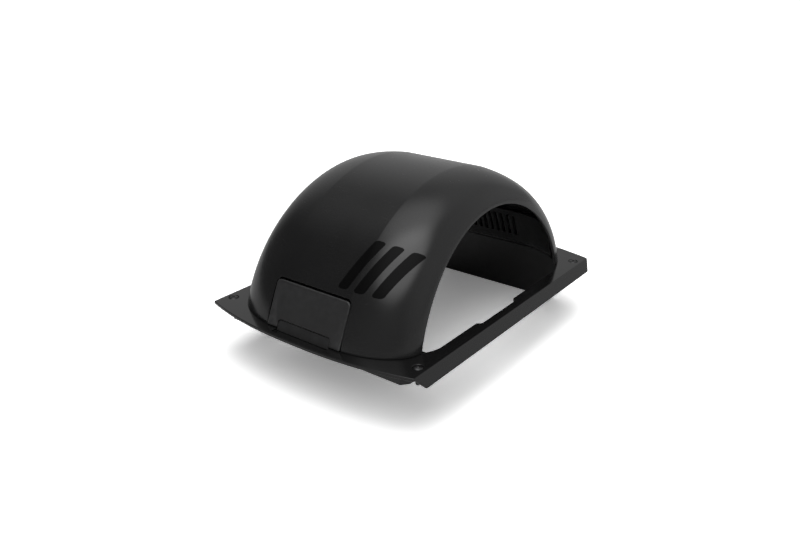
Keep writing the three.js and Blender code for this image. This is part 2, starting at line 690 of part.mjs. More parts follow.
// torsion spring round the pin: one leg down the panel's back, the other against the housing
function panelSpring() {
  const steps = SPRING_TURNS * 12;
  const half = SPRING_WIDTH / 2;
  const path = [];
  const start = panelPoint(27, PIVOT_IN - SPRING_RADIUS);
  path.push(new THREE.Vector3(-half - 0.9, start.y, start.z));
  const first = panelPoint(33, PIVOT_IN - SPRING_RADIUS);
  path.push(new THREE.Vector3(-half - 0.5, first.y, first.z));
  for (let step = 0; step <= steps; step += 1) {
    const angle = Math.PI - PANEL_TILT - (step / steps) * SPRING_TURNS * 2 * Math.PI;
    const x = -half + (SPRING_WIDTH * step) / steps;
    const y = pivot.y + SPRING_RADIUS * Math.cos(angle);
    path.push(new THREE.Vector3(x, y, pivot.z + SPRING_RADIUS * Math.sin(angle)));
  }
  const end = path[path.length - 1];
  path.push(new THREE.Vector3(half + 0.5, end.y - 0.8, end.z - 4));
  path.push(new THREE.Vector3(half + 0.9, end.y - 2, end.z - 9));
  const wire = new THREE.Shape().absarc(0, 0, SPRING_WIRE_RADIUS, 0, 2 * Math.PI);
  const curve = new THREE.CatmullRomCurve3(path);
  return new THREE.ExtrudeGeometry(wire, {
    steps: path.length * 2,
    extrudePath: curve,
    bevelEnabled: false,
    curveSegments: 3,
  });
}

// tray behind the panel: keeps spray out and carries the pin
function latchHousing() {
  const low = HOUSING_LOW;
  const top = HOUSING_TOP;
  const foot = HOUSING_FOOT_Y;
  const head = HOUSING_HEAD_Y;
  const wall = HOUSING_WALL - 0.5; // the back wall is thinner, to clear the strikers
  const slab = archCore(WALL + CURVE_GAP, low);
  const outline = [[-175, low], [foot, low], [head, top - 2], [head, top], [-175, top]];
  const innerFoot = foot - wall;
  const outward = -180;
  const hollow = [
    [outward, low - 2],
    [innerFoot, low - 2],
    [innerFoot, low],
    [head - wall, top - 3],
    [outward, top - 3],
  ];
  let tray = slab.intersect(prismAlongX(outline, -HOUSING_HALF_WIDTH, HOUSING_HALF_WIDTH));
  for (const [x, height] of HOUSING_SCREWS) {
    tray = tray.add(housingTab(x, height));
  }
  const hollowX = HOUSING_HALF_WIDTH - HOUSING_WALL;
  tray = tray.subtract(prismAlongX(hollow, -hollowX, hollowX));
  for (const [x, height] of HOUSING_SCREWS) {
    tray = tray.subtract(hole(x, height, BOSS_RADIUS + GAP, false));
  }
  return tray.subtract(rodAlongX(PANEL_PIN_RADIUS + GAP, -60, 60, pivot.y, pivot.z, 16));
}

// a tab that follows the shell's inside, from the tray's top or side out round a screw
function housingTab(x, height) {
  const layer = archLayer(WALL + CURVE_GAP, WALL + CURVE_GAP + HOUSING_WALL, HOUSING_LOW);
  const z = DECK + height;
  if (z > HOUSING_TOP) {
    return layer.intersect(block(x - 7, x + 7, -170, -100, HOUSING_TOP - 4, z + 6));
  }
  const side = Math.sign(x);
  const ends = [side * (HOUSING_HALF_WIDTH - 2.2), x + side * 6];
  return layer.intersect(block(Math.min(...ends), Math.max(...ends), -170, -100, z - 7, z + 7));
}

// Rear hinge -------------------------------------------------------------------------------------

function hingeClip(x) {
  const x0 = x - CLIP_WIDTH / 2;
  const x1 = x + CLIP_WIDTH / 2;
  const layer = outsideLayer(CURVE_GAP, CURVE_GAP + CLIP_THICKNESS);
  const plate = layer.intersect(block(x0, x1, 100, 175, CLIP_LOW, CLIP_HIGH));
  const web = prismAlongX([
    [157.2, DECK + 7.2],
    [161, DECK + 5],
    [HINGE_Y, HINGE_Z + KNUCKLE_RADIUS],
    [154.6, DECK + 17.5],
  ], x0, x1);
  let clip = rodAlongX(KNUCKLE_RADIUS, x0, x1, HINGE_Y, HINGE_Z).add(web);
  clip = clip.subtract(archCore(-CURVE_GAP, DECK - 5)).add(plate);
  clip = clip.subtract(rodAlongX(HINGE_PIN_RADIUS + GAP, x0 - 1, x1 + 1, HINGE_Y, HINGE_Z));
  clip = clip.subtract(block(x0 - 1, x1 + 1, HINGE_Y - CLIP_MOUTH, HINGE_Y + CLIP_MOUTH, DECK - 5, HINGE_Z));
  for (const [screwX, height] of CLIP_SCREWS) {
    clip = clip.subtract(hole(screwX, height, CLIP_HOLE_RADIUS, true));
  }
  return clip;
}

// a layer on the shell's outside
function outsideLayer(insetNear, insetFar) {
  return archCore(-insetFar, DECK).subtract(archCore(-insetNear, DECK - 1));
}

function ribPlate() {
  const inset = WALL + CURVE_GAP;
  const layer = archLayer(inset, inset + RIB_PLATE_THICKNESS, RIB_PLATE_LOW);
  const span = block(-RIB_PLATE_HALF_WIDTH, RIB_PLATE_HALF_WIDTH, 80, 170, DECK, RIB_PLATE_HIGH);
  let plate = layer.intersect(span);
  for (let index = 0; index < RIB_SLOT_COUNT; index += 1) {
    const x = (index - (RIB_SLOT_COUNT - 1) / 2) * RIB_SLOT_PITCH;
    const half = RIB_SLOT_WIDTH / 2;
    plate = plate.subtract(block(x - half, x + half, 100, 170, RIB_SLOT_LOW, RIB_SLOT_HIGH));
  }
  for (const [x, height] of CLIP_SCREWS) {
    plate = plate.subtract(hole(x, height, CLIP_HOLE_RADIUS, true));
  }
  return plate;
}

// Assembly ---------------------------------------------------------------------------------------

const fender = new THREE.Group();

function place(parent, name, shape, finish, matrix = null) {
  const geometry = shape.isBufferGeometry ? shape : geometryOf(shape);
  const mesh = new THREE.Mesh(geometry, new THREE.MeshStandardMaterial(finish));
  mesh.name = name;
  if (matrix) {
    mesh.applyMatrix4(matrix);
  }
  parent.add(mesh);
  return mesh;
}

const frameGroup = new THREE.Group();
const shellGroup = new THREE.Group();
const leverGroup = new THREE.Group();
shellGroup.add(leverGroup);
fender.add(frameGroup, shellGroup);

place(frameGroup, 'base_frame', baseFrame(), BLACK_FRAME);
place(frameGroup, 'splash_wall', splashWall(), BLACK_FRAME);
const screwNames = ['front_left', 'front_right', 'rear_left', 'rear_right'];
SCREW_PLACES.forEach(([x, y], index) => {
  const matrix = new THREE.Matrix4().setPosition(x, y, DECK);
  place(frameGroup, `deck_screw_${screwNames[index]}`, deckScrew(), BLACK_STEEL, matrix);
});
SPLASH_SCREW_X.forEach((x, index) => {
  const seat = DECK - PLATE_THICKNESS - SPLASH_FLANGE_THICKNESS - 2 * GAP;
  const matrix = new THREE.Matrix4().setPosition(x, SPLASH_SCREW_Y, seat);
  place(frameGroup, `splash_screw_${index + 1}`, smallScrew(SPLASH_SCREW), BLACK_STEEL, matrix);
});
const hingePin = rodAlongX(HINGE_PIN_RADIUS, -HINGE_PIN_HALF_LENGTH, HINGE_PIN_HALF_LENGTH, HINGE_Y, HINGE_Z);
place(frameGroup, 'hinge_pin', hingePin, STEEL);

place(shellGroup, 'arch_shell', archShell(), BLACK_SHELL);
place(shellGroup, 'latch_housing', latchHousing(), BLACK_FRAME);
const pinEnd = PANEL_PIN_HALF_LENGTH;
place(shellGroup, 'panel_pin', rodAlongX(PANEL_PIN_RADIUS, -pinEnd, pinEnd, pivot.y, pivot.z, 16), STEEL);
place(shellGroup, 'panel_spring', panelSpring(), STEEL);
HOUSING_SCREWS.forEach(([x, height], index) => {
  const matrix = wallFrame(x, height, WALL + 5.6);
  place(shellGroup, `housing_screw_${index + 1}`, smallScrew(HOUSING_SCREW), BLACK_STEEL, matrix);
});
place(shellGroup, 'rib_plate', ribPlate(), BLACK_FRAME);
place(shellGroup, 'hinge_clip_left', hingeClip(-CLIP_X), BLACK_FRAME);
place(shellGroup, 'hinge_clip_right', hingeClip(CLIP_X), BLACK_FRAME);
CLIP_SCREWS.forEach(([x, height], index) => {
  const matrix = wallFrame(x, height, -CLIP_THICKNESS - CURVE_GAP - GAP, true);
  matrix.multiply(new THREE.Matrix4().makeRotationX(Math.PI));
  place(shellGroup, `clip_screw_${index + 1}`, smallScrew(CLIP_SCREW), BLACK_STEEL, matrix);
});

place(leverGroup, 'release_panel', releasePanel(), GREY_PANEL);
place(leverGroup, 'finger_scoop', fingerScoop(), BLACK_FRAME);

export default fender;
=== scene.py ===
"""Looks of a clip-on tyre fender for a one-wheeled board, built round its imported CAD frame.

Metres, +Z up, -Y front (release panel), +X right. The origin is under the middle of the tyre opening,
level with the lower edge of the splash wall.
"""

import math
from collections import Counter

import bmesh
import bpy
from mathutils import Matrix, Vector


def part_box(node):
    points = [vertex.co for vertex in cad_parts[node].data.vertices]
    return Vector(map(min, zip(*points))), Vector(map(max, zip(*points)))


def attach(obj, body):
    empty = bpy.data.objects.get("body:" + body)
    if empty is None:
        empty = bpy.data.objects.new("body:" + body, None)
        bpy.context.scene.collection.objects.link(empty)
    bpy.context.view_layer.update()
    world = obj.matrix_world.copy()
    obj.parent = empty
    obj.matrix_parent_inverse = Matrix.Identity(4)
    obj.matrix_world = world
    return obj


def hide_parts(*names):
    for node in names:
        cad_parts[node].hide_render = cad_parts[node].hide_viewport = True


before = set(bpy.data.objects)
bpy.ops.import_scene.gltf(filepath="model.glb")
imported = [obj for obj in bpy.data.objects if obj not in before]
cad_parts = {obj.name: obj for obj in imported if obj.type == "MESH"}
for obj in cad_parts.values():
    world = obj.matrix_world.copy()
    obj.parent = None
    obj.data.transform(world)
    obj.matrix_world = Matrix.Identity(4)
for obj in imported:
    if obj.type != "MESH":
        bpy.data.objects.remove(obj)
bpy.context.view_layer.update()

# Sizes ------------------------------------------------------------------------------------------

MM = 0.001
SKIRT_DROP = 15.9 * MM
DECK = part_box("base_frame")[0].z + SKIRT_DROP  # top of the plate, above the lower edge of its skirt
GAP = 0.3 * MM
CURVE_GAP = 0.5 * MM
WALL = 2.8 * MM

# Shell: a cross-section is flat in the middle and rounds over to a side edge on a smaller circle
CROWN_RADIUS = 165.51 * MM
CROWN_CENTRE_Z = DECK - 44.71 * MM
RIM_RADIUS = 123.35 * MM
RIM_CENTRE_Z = DECK - 30.26 * MM
FLAT_HALF_WIDTH = 40.9 * MM
FOOT_HALF_WIDTH = 99.4 * MM
TOP_HALF_WIDTH = 91 * MM
ROUND_POWER = 1.88
CREASE = 0.15  # how firmly the flat middle breaks into the rounded sides

# Release panel, flat and tilted with the shell's front foot
PANEL_TILT = math.radians(23.8)
PANEL_FOOT_Y = -160.2 * MM
PANEL_FOOT_Z = DECK + 0.8 * MM
PANEL_HALF_WIDTH = 42.5 * MM
PANEL_HEIGHT = 42.4 * MM
PANEL_THICKNESS = 3 * MM
PANEL_CORNER = 5 * MM
WINDOW_HALF_WIDTH = PANEL_HALF_WIDTH + 0.8 * MM
WINDOW_HEIGHT = PANEL_HEIGHT + 2.1 * MM
WINDOW_CORNER = PANEL_CORNER + 0.8 * MM
SCOOP_HALF_WIDTH = 30.6 * MM
SCOOP_HEIGHT = 7.6 * MM
SCOOP_CORNER = 3.5 * MM
SCOOP_DEPTH = 0.9 * MM  # of its face, behind the panel's
RECESS_DEPTH = 2.1 * MM  # of the finger recess in the plate, in front of the scoop
RECESS_HALF_WIDTH = SCOOP_HALF_WIDTH + 0.4 * MM
RECESS_FRONT_Y, RECESS_REAR_Y = -167 * MM, -153 * MM
PANEL_PIN_RADIUS = 1.5 * MM
LATCH_X = 37 * MM
HOOK_HALF_WIDTH = 3.75 * MM
LUG_X = 22 * MM
LUG_RADIUS = 3.1 * MM

# Latch housing
TRAY_HALF_WIDTH = 47 * MM
TRAY_WALL = 2.4 * MM
TRAY_LOW, TRAY_TOP = DECK + 0.7 * MM, DECK + 47 * MM
TRAY_FOOT_Y, TRAY_HEAD_Y = -142.3 * MM, -128.4 * MM
TRAY_BACK = 1.9 * MM
TAB_THICKNESS = 2.4 * MM
TAB_HALF_WIDTH = 7 * MM

# Frame
PLATE_HALF_WIDTH = 117.5 * MM
PLATE_CORNER_Y = 156.4 * MM
PLATE_END_Y = 171.5 * MM
PLATE_END_POWER = 2.4
PLATE_THICKNESS = 3 * MM
WING_OUT = 6.6 * MM
WING_DROP = 10.6 * MM
WING_END_INSET = 9.9 * MM
WING_THICKNESS = 2.6 * MM
OPENING_HALF_WIDTH = 104.7 * MM
OPENING_CORNER_Y = 100 * MM
OPENING_FRONT_Y = 144.5 * MM
OPENING_REAR_Y = 154.5 * MM
AXLE_NOTCH_DEPTH = 4 * MM
AXLE_NOTCH_HALF_LENGTH = 29 * MM
AXLE_NOTCH_Y = -12.5 * MM
SKIRT_FACE_Y = 150 * MM
SKIRT_FACE_HALF_WIDTH = 98.9 * MM
SKIRT_HALF_WIDTH = 104.5 * MM
SKIRT_CHAMFER = 7 * MM
SKIRT_THICKNESS = 2.7 * MM
SKIRT_RETURN_Y = 112 * MM
SCREW_HOLE_RADIUS = 2.75 * MM
SCREW_SEAT_RADIUS = 4.7 * MM
SCREW_SEAT_DEPTH = 1.6 * MM
FRAME_ROUNDING = 0.6 * MM

# Rear hinge
HINGE_Y = 164.5 * MM
HINGE_Z = DECK + 4.8 * MM
HINGE_PIN_RADIUS = 2 * MM
KNUCKLE_RADIUS = 4.2 * MM
KNUCKLES = [(-43 * MM, -35 * MM), (-13 * MM, 13 * MM), (35 * MM, 43 * MM)]
CLIP_THICKNESS = 2.5 * MM
CLIP_MOUTH = 1.75 * MM

# Screws into the shell: x, and height above the deck
HOUSING_SCREWS = [(-30 * MM, 50.5 * MM), (30 * MM, 50.5 * MM), (-51 * MM, 13 * MM), (51 * MM, 13 * MM)]
CLIP_SCREWS = [(x * MM, 38.2 * MM) for x in (-29, -19, 19, 29)]
BOSS_RADIUS = 3.4 * MM
BOSS_DEPTH = 5 * MM
BORE_RADIUS = 1.6 * MM
BORE_DEPTH = 5.8 * MM
TRAY_HOLE_RADIUS = 3.9 * MM
CLIP_HOLE_RADIUS = 1.8 * MM

# Slotted liner
LINER_THICKNESS = 3 * MM
SLOT_COUNT = 10
SLOT_PITCH = 7.5 * MM
SLOT_HALF_WIDTH = 1.95 * MM
SLOT_LOW, SLOT_HIGH = DECK + 9.5 * MM, DECK + 35 * MM

# Splash wall
SPLASH_THICKNESS = 2.8 * MM
SPLASH_TOP_HALF_WIDTH = 98.9 * MM
SPLASH_FOOT_HALF_WIDTH = 83 * MM
SPLASH_CORNER = 8 * MM
SPLASH_FLANGE = 12 * MM
SPLASH_FLANGE_HALF_WIDTH = 84 * MM
SPLASH_FLANGE_THICKNESS = 2.6 * MM
GUSSET_X = (-45 * MM, 0, 45 * MM)
GUSSET_THICKNESS = 2.4 * MM
FLANGE_HOLE_RADIUS = 1.7 * MM

FAR = 300 * MM  # past the whole object, for cutters
PAST = 9 * MM  # past both faces of a wall, for cutters


# Mesh helpers -----------------------------------------------------------------------------------


def mesh_object(name, points, faces):
    """A new object from points and faces."""
    mesh = bpy.data.meshes.new(name)
    mesh.from_pydata([tuple(p) for p in points], [], faces)
    mesh.update()
    made = bpy.data.objects.new(name, mesh)
    bpy.context.scene.collection.objects.link(made)
    return made


def remove(obj):
    mesh = obj.data
    bpy.data.objects.remove(obj)
    bpy.data.meshes.remove(mesh)


def bake(obj):
    """Applies the object's modifiers."""
    graph = bpy.context.evaluated_depsgraph_get()
    mesh = bpy.data.meshes.new_from_object(obj.evaluated_get(graph))
    obj.modifiers.clear()
    plain = obj.data
    obj.data = mesh
    bpy.data.meshes.remove(plain)
    return obj


def combine(operation, target, *others):
    """Joins the others to target, or cuts them from it."""
    for other in others:
        modifier = target.modifiers.new(operation, "BOOLEAN")
        modifier.operation = operation
        modifier.solver = "EXACT"
        modifier.object = other
    bake(target)
    for other in others:
        remove(other)
    return target


def join(target, *others):
    return combine("UNION", target, *others)


def cut(target, *others):
    return combine("DIFFERENCE", target, *others)


def shade(obj):
    """Smooth shading in which the large flat faces stay flat."""
    obj.data.polygons.foreach_set("use_smooth", [True] * len(obj.data.polygons))
    modifier = obj.modifiers.new("normals", "WEIGHTED_NORMAL")
    modifier.weight = 100
    modifier.keep_sharp = True
    return bake(obj)


def weld(obj, distance):
    """Merges points closer than this, which a join or a curve leaves double."""
    mesh = bmesh.new()
    mesh.from_mesh(obj.data)
    bmesh.ops.remove_doubles(mesh, verts=mesh.verts, dist=distance)
    bmesh.ops.dissolve_degenerate(mesh, edges=mesh.edges, dist=distance)
    mesh.to_mesh(obj.data)
    mesh.free()
    return obj


def round_edges(obj, width, segments=3, angle=30, clamp=True):
    """Rounds every edge that is sharper than the angle. Unclamped, a short edge doesn't narrow the rest."""
    modifier = obj.modifiers.new("edges", "BEVEL")
    modifier.width = width
    modifier.segments = segments
    modifier.limit_method = "ANGLE"
    modifier.angle_limit = math.radians(angle)
    modifier.miter_outer = "MITER_ARC"
    modifier.use_clamp_overlap = clamp
    return bake(obj)


def prism(outline, low, high, matrix=None):
    """A solid with this outline in its own XY plane, from low to high along its own Z."""
    area = sum(a[0] * b[1] - b[0] * a[1] for a, b in zip(outline, outline[1:] + outline[:1]))
    if area < 0:
        outline = outline[::-1]
    matrix = matrix or Matrix()
    count = len(outline)
    points = [matrix @ Vector((x, y, z)) for z in (low, high) for x, y in outline]
    sides = [(i, (i + 1) % count, (i + 1) % count + count, i + count) for i in range(count)]
    return mesh_object("prism", points, [tuple(range(count))[::-1], tuple(range(count, 2 * count)), *sides])


# outlines in (y, z), and in (x, z) with their height towards -Y
ALONG_X = Matrix(((0, 0, 1, 0), (1, 0, 0, 0), (0, 1, 0, 0), (0, 0, 0, 1)))
ALONG_Y = Matrix(((1, 0, 0, 0), (0, 0, -1, 0), (0, 1, 0, 0), (0, 0, 0, 1)))


def box(x0, x1, y0, y1, z0, z1):
    return prism([(x0, y0), (x1, y0), (x1, y1), (x0, y1)], z0, z1)


def circle(radius, count=40):
    turns = [2 * math.pi * i / count for i in range(count)]
    return [(radius * math.cos(a), radius * math.sin(a)) for a in turns]


def rod_x(radius, x0, x1, y, z, count=40):
    return prism([(y + a, z + b) for a, b in circle(radius, count)], x0, x1, ALONG_X)


def rod_z(radius, z0, z1, x, y, count=40):
    return prism([(x + a, y + b) for a, b in circle(radius, count)], z0, z1)


def turned(name, profile, matrix, count=48):
    """A solid of revolution about its own Z, from (radius, height) points that start and end on the axis."""
    points = [matrix @ Vector((0, 0, profile[0][1]))]
    for radius, height in profile[1:-1]:
        points += [matrix @ Vector((x, y, height)) for x, y in circle(radius, count)]
    points.append(matrix @ Vector((0, 0, profile[-1][1])))
    faces = [(0, 1 + (i + 1) % count, 1 + i) for i in range(count)]
    for ring in range(len(profile) - 3):
        first = 1 + ring * count
        for i in range(count):
            after = (i + 1) % count
            faces.append((first + i, first + after, first + count + after, first + count + i))
    last = 1 + (len(profile) - 3) * count
    faces += [(last + i, last + (i + 1) % count, len(points) - 1) for i in range(count)]
    return mesh_object(name, points, faces)


def arc(x, y, radius, start, end, count=8):
    """Points of an arc round (x, y), with its angles in degrees."""
    steps = [math.radians(start + (end - start) * i / count) for i in range(count + 1)]
    return [(x + radius * math.cos(a), y + radius * math.sin(a)) for a in steps]


def rounded_rectangle(x0, x1, y0, y1, top, foot=0.0):
    """An outline with one corner radius at the top and another at the foot."""
    low = [(x0, y0), (x1, y0)]
    if foot:
        low = arc(x0 + foot, y0 + foot, foot, 180, 270) + arc(x1 - foot, y0 + foot, foot, 270, 360)
    return low + arc(x1 - top, y1 - top, top, 0, 90) + arc(x0 + top, y1 - top, top, 90, 180)


def finish_piece(obj, name, body, material, nodes=()):
    """Names a piece, gives it its material, ties it to its CAD body and hides the CAD nodes that it replaces.
    """
    obj.name = name
    obj.data.name = name
    obj.data.materials.clear()
    obj.data.materials.append(material)
    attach(obj, body)
    if nodes:
        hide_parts(*nodes)
    return obj


# The arch surface -------------------------------------------------------------------------------


class Column:
    """A line of the shell's surface from its front foot to its rear foot.

    It keeps either a distance x from the middle, or a share out of the rounded side, 0 to 1.
    """

    def __init__(self, side, x=None, out=None):
        self.side = side
        self.x = x
        self.out = out

    def circle(self, theta, inset):
        """Distance from the middle, and the radius and centre height, at an angle from the front."""
        taper = (TOP_HALF_WIDTH - FOOT_HALF_WIDTH) * math.sin(theta) ** 2
        span = FOOT_HALF_WIDTH + taper - inset - FLAT_HALF_WIDTH
        if self.out is None:
            x = self.x
            out = max(0.0, (x - FLAT_HALF_WIDTH) / span)
        else:
            out = self.out
            x = FLAT_HALF_WIDTH + out * span
        crown = max(0.0, 1 - out**ROUND_POWER) ** (1 / ROUND_POWER) - CREASE * out * (1 - out) ** 2
        radius = RIM_RADIUS + (CROWN_RADIUS - inset - RIM_RADIUS) * crown
        return x, radius, RIM_CENTRE_Z + (CROWN_CENTRE_Z - RIM_CENTRE_Z) * crown

    def point(self, theta, inset):
        x, radius, centre = self.circle(theta, inset)
        return Vector((self.side * x, -radius * math.cos(theta), centre + radius * math.sin(theta)))

    def angle_at(self, z, inset):
        """The angle at which its front half reaches height z."""
        theta = 0.3
        for _ in range(6):
            _, radius, centre = self.circle(theta, inset)
            theta = math.asin((z - centre) / radius)
        return theta

    def angle_up_panel(self, up, inset):
        """The angle at which it passes a distance up the release panel's plane."""
        low, high = self.angle_at(DECK, inset), math.radians(60)
        for _ in range(40):
            middle = (low + high) / 2
            if (PANEL.inverted() @ self.point(middle, inset)).y < up:
                low = middle
            else:
                high = middle
        return low


# the release panel's own frame: X across, Y up the panel, Z out of its face
PANEL = Matrix(
    (
        (1, 0, 0, 0),
        (0, math.sin(PANEL_TILT), -math.cos(PANEL_TILT), PANEL_FOOT_Y),
        (0, math.cos(PANEL_TILT), math.sin(PANEL_TILT), PANEL_FOOT_Z),
        (0, 0, 0, 1),
    )
)
PIVOT = PANEL @ Vector((0, 38.4 * MM, -5.8 * MM))


def panel_prism(outline, far, near):
    """An outline in the panel's plane, from a depth behind its face to a nearer one."""
    return prism(outline, -far, -near, PANEL)


def sheet_solid(name, outer, inner, weight=None):
    """A closed wall between two grids of points. None marks a gap in both.

    weight gives the bevel weight of an edge from its middle point and whether it is on the outer grid.
    """
    columns = len(outer[0])
    index = {}
    for row, line in enumerate(outer):
        for column, point in enumerate(line):
            if point is not None:
                index[row, column] = len(index)
    points = [outer[r][c] for r, c in index] + [inner[r][c] for r, c in index]
    count = len(index)
    faces = []
    for row in range(len(outer) - 1):
        for column in range(columns - 1):
            corners = [(row, column), (row, column + 1), (row + 1, column + 1), (row + 1, column)]
            if all(corner in index for corner in corners):
                faces.append(tuple(index[corner] for corner in corners))
    sides = Counter((f[i], f[(i + 1) % 4]) for f in faces for i in range(4))
    rim = [(a, b) for a, b in sides if (b, a) not in sides]
    walls = [(b, a, a + count, b + count) for a, b in rim]
    backs = [tuple(i + count for i in reversed(f)) for f in faces]
    made = mesh_object(name, points, faces + backs + walls)
    if weight:
        layer = made.data.attributes.new("bevel_weight_edge", "FLOAT", "EDGE")
        wanted = {frozenset(pair): True for pair in rim}
        wanted.update({frozenset((a + count, b + count)): False for a, b in rim})
        for edge in made.data.edges:
            on_outer = wanted.get(frozenset(edge.vertices))
            if on_outer is not None:
                middle = (Vector(points[edge.vertices[0]]) + Vector(points[edge.vertices[1]])) / 2
                layer.data[edge.index].value = weight(middle, on_outer)
    return made


def patch(columns, low, high, thickness, rows, rear=False):
    """A curved plate just inside the shell, between two heights of its front or its rear."""
    grids = []
    for inset in (WALL + CURVE_GAP, WALL + CURVE_GAP + thickness):
        grid = [[] for _ in range(rows + 1)]
        for column in columns:
            start, end = column.angle_at(low, inset), column.angle_at(high, inset)
            if rear:
                start, end = math.pi - end, math.pi - start
            for row, line in enumerate(grid):
                line.append(column.point(start + (end - start) * row / rows, inset))
        grids.append(grid)
    return sheet_solid("patch", *grids)


def across(x0, x1, steps):
    """Columns at even distances from x0 to x1."""
    places = [x0 + (x1 - x0) * i / steps for i in range(steps + 1)]
    return [Column(-1 if x < 0 else 1, x=abs(x)) for x in places]


# Shell ------------------------------------------------------------------------------------------


def shell_columns():
    """Columns from the middle to the right edge, with one on each line that the window needs."""
    corner_x = WINDOW_HALF_WIDTH - WINDOW_CORNER
    flat = [corner_x * i / 8 for i in range(9)]
    turn = [corner_x + WINDOW_CORNER * math.sin(math.radians(90) * i / 8) for i in range(1, 9)]
    fixed = sorted(flat + turn + [FLAT_HALF_WIDTH])
    columns = [Column(1, x=x) for x in fixed]
    steps = 34
    for i in range(2, steps + 1):
        columns.append(Column(1, out=math.sin(math.radians(90) * i / steps) ** (2 / ROUND_POWER)))
    columns[-1].out = 1.0
    return columns


def window_height(x):
    """How far up the panel's plane the window reaches at x."""
    over = x - (WINDOW_HALF_WIDTH - WINDOW_CORNER)
    if over <= 0:
        return WINDOW_HEIGHT
    return WINDOW_HEIGHT - WINDOW_CORNER + math.sqrt(max(0.0, WINDOW_CORNER**2 - over**2))


def shell_grid(inset):
    """Points of the shell's surface, with a gap for the release panel's window."""
    half = shell_columns()
    columns = [Column(-1, x=c.x, out=c.out) for c in reversed(half[1:])] + half
    side_rows, blend_rows, arch_rows = 16, 8, 110
    edge = Column(1, x=WINDOW_HALF_WIDTH)
    foot = edge.angle_at(DECK + GAP, inset)
    share = (edge.angle_up_panel(WINDOW_HEIGHT - WINDOW_CORNER, inset) - foot) / (math.pi - 2 * foot)
    shares = [share * i / side_rows for i in range(side_rows)]
    shares += [share + (1 - share) * i / arch_rows for i in range(arch_rows + 1)]
    grid = []
    for row, fraction in enumerate(shares):
        line = []
        for column in columns:
            foot = column.angle_at(DECK + GAP, inset)
            theta = foot + (math.pi - 2 * foot) * fraction
            within = column.out is None and column.x < WINDOW_HALF_WIDTH - 0.01 * MM
            if within and row < side_rows:
                line.append(None)
                continue
            if within and row < side_rows + blend_rows:
                top = column.angle_up_panel(window_height(column.x), inset)
                end = foot + (math.pi - 2 * foot) * shares[side_rows + blend_rows]
                theta = top + (end - top) * (row - side_rows) / blend_rows
            line.append(column.point(theta, inset))
        grid.append(line)
    return grid


def shell_edge_weight(middle, outer):
    """Bevel weight: full along the arched sides, less round the window and at the feet."""
    if middle.z < DECK + 2 * GAP:
        return 0.25
    if abs(middle.x) < WINDOW_HALF_WIDTH + 0.1 * MM:
        return 0.45 if outer else 0.2
    return 1.0 if outer else 0.6


def wall_matrix(x, height, inset, rear=False):
    """A frame on the shell at x and a height above the deck: X across, Z outward."""
    column = Column(-1 if x < 0 else 1, x=abs(x))
    theta = math.asin((DECK + height - CROWN_CENTRE_Z) / CROWN_RADIUS)
    if rear:
        theta = math.pi - theta
    up = Vector((0, math.sin(theta), math.cos(theta)))
    out = Vector((0, -math.cos(theta), math.sin(theta)))
    place = column.point(theta, inset)
    rows = [(1, 0, 0, place.x), (0, up.y, out.y, place.y), (0, up.z, out.z, place.z), (0, 0, 0, 1)]
    return Matrix(rows)


def wall_rods(radius, low, high, places, rear=False):
    """Rods square to the shell's inner face, from low to high along its outward direction."""
    return [prism(circle(radius), low, high, wall_matrix(x, height, WALL, rear)) for x, height in places]


def arch_shell():
    shell = sheet_solid("arch_shell", shell_grid(0), shell_grid(WALL), shell_edge_weight)
    modifier = shell.modifiers.new("edges", "BEVEL")
    modifier.limit_method = "WEIGHT"
    modifier.width = 1.3 * MM
    modifier.segments = 4
    bake(shell)
    join(shell, *wall_rods(BOSS_RADIUS, -BOSS_DEPTH, 1.2 * MM, HOUSING_SCREWS))
    bores = wall_rods(BORE_RADIUS, -BORE_DEPTH, 0.2 * MM, HOUSING_SCREWS)
    cut(shell, *bores, *wall_rods(CLIP_HOLE_RADIUS, -PAST, PAST, CLIP_SCREWS, rear=True))
    shell.data.polygons.foreach_set("use_smooth", [True] * len(shell.data.polygons))
    shell.data.set_sharp_from_angle(angle=math.radians(50))
    return shell


# Frame ------------------------------------------------------------------------------------------


def plate_outline():
    steps = 64
    end = []
    for step in range(steps + 1):
        x = -PLATE_HALF_WIDTH + 2 * PLATE_HALF_WIDTH * step / steps
        sweep = (abs(x) / PLATE_HALF_WIDTH) ** PLATE_END_POWER
        end.append((x, -PLATE_END_Y + (PLATE_END_Y - PLATE_CORNER_Y) * sweep))
    return end + [(-x, -y) for x, y in end]


def opening_corner(side, end):
    """From the middle of an end round to a side."""
    steps = 24
    reach = OPENING_FRONT_Y if end < 0 else OPENING_REAR_Y
    points = []
    for step in range(steps + 1):
        angle = math.radians(90) * (1 - step / steps)
        out = max(0.0, math.cos(angle)) ** (2 / ROUND_POWER)
        on = max(0.0, math.sin(angle)) ** (2 / ROUND_POWER)
        x = FLAT_HALF_WIDTH + (OPENING_HALF_WIDTH - FLAT_HALF_WIDTH) * out
        points.append((side * x, end * (OPENING_CORNER_Y + (reach - OPENING_CORNER_Y) * on)))
    return points


def opening_outline():
    def notch(side):
        points = []
        for end in (-1, 1):
            y = AXLE_NOTCH_Y + end * AXLE_NOTCH_HALF_LENGTH
            shallow = (side * OPENING_HALF_WIDTH, y + end * AXLE_NOTCH_DEPTH)
            deep = (side * (OPENING_HALF_WIDTH + AXLE_NOTCH_DEPTH), y)
            points += [shallow, deep] if end < 0 else [deep, shallow]
        return points

    right = opening_corner(1, -1) + notch(1) + opening_corner(1, 1)[::-1]
    left = opening_corner(-1, 1) + notch(-1)[::-1] + opening_corner(-1, -1)[::-1]
    return right + left


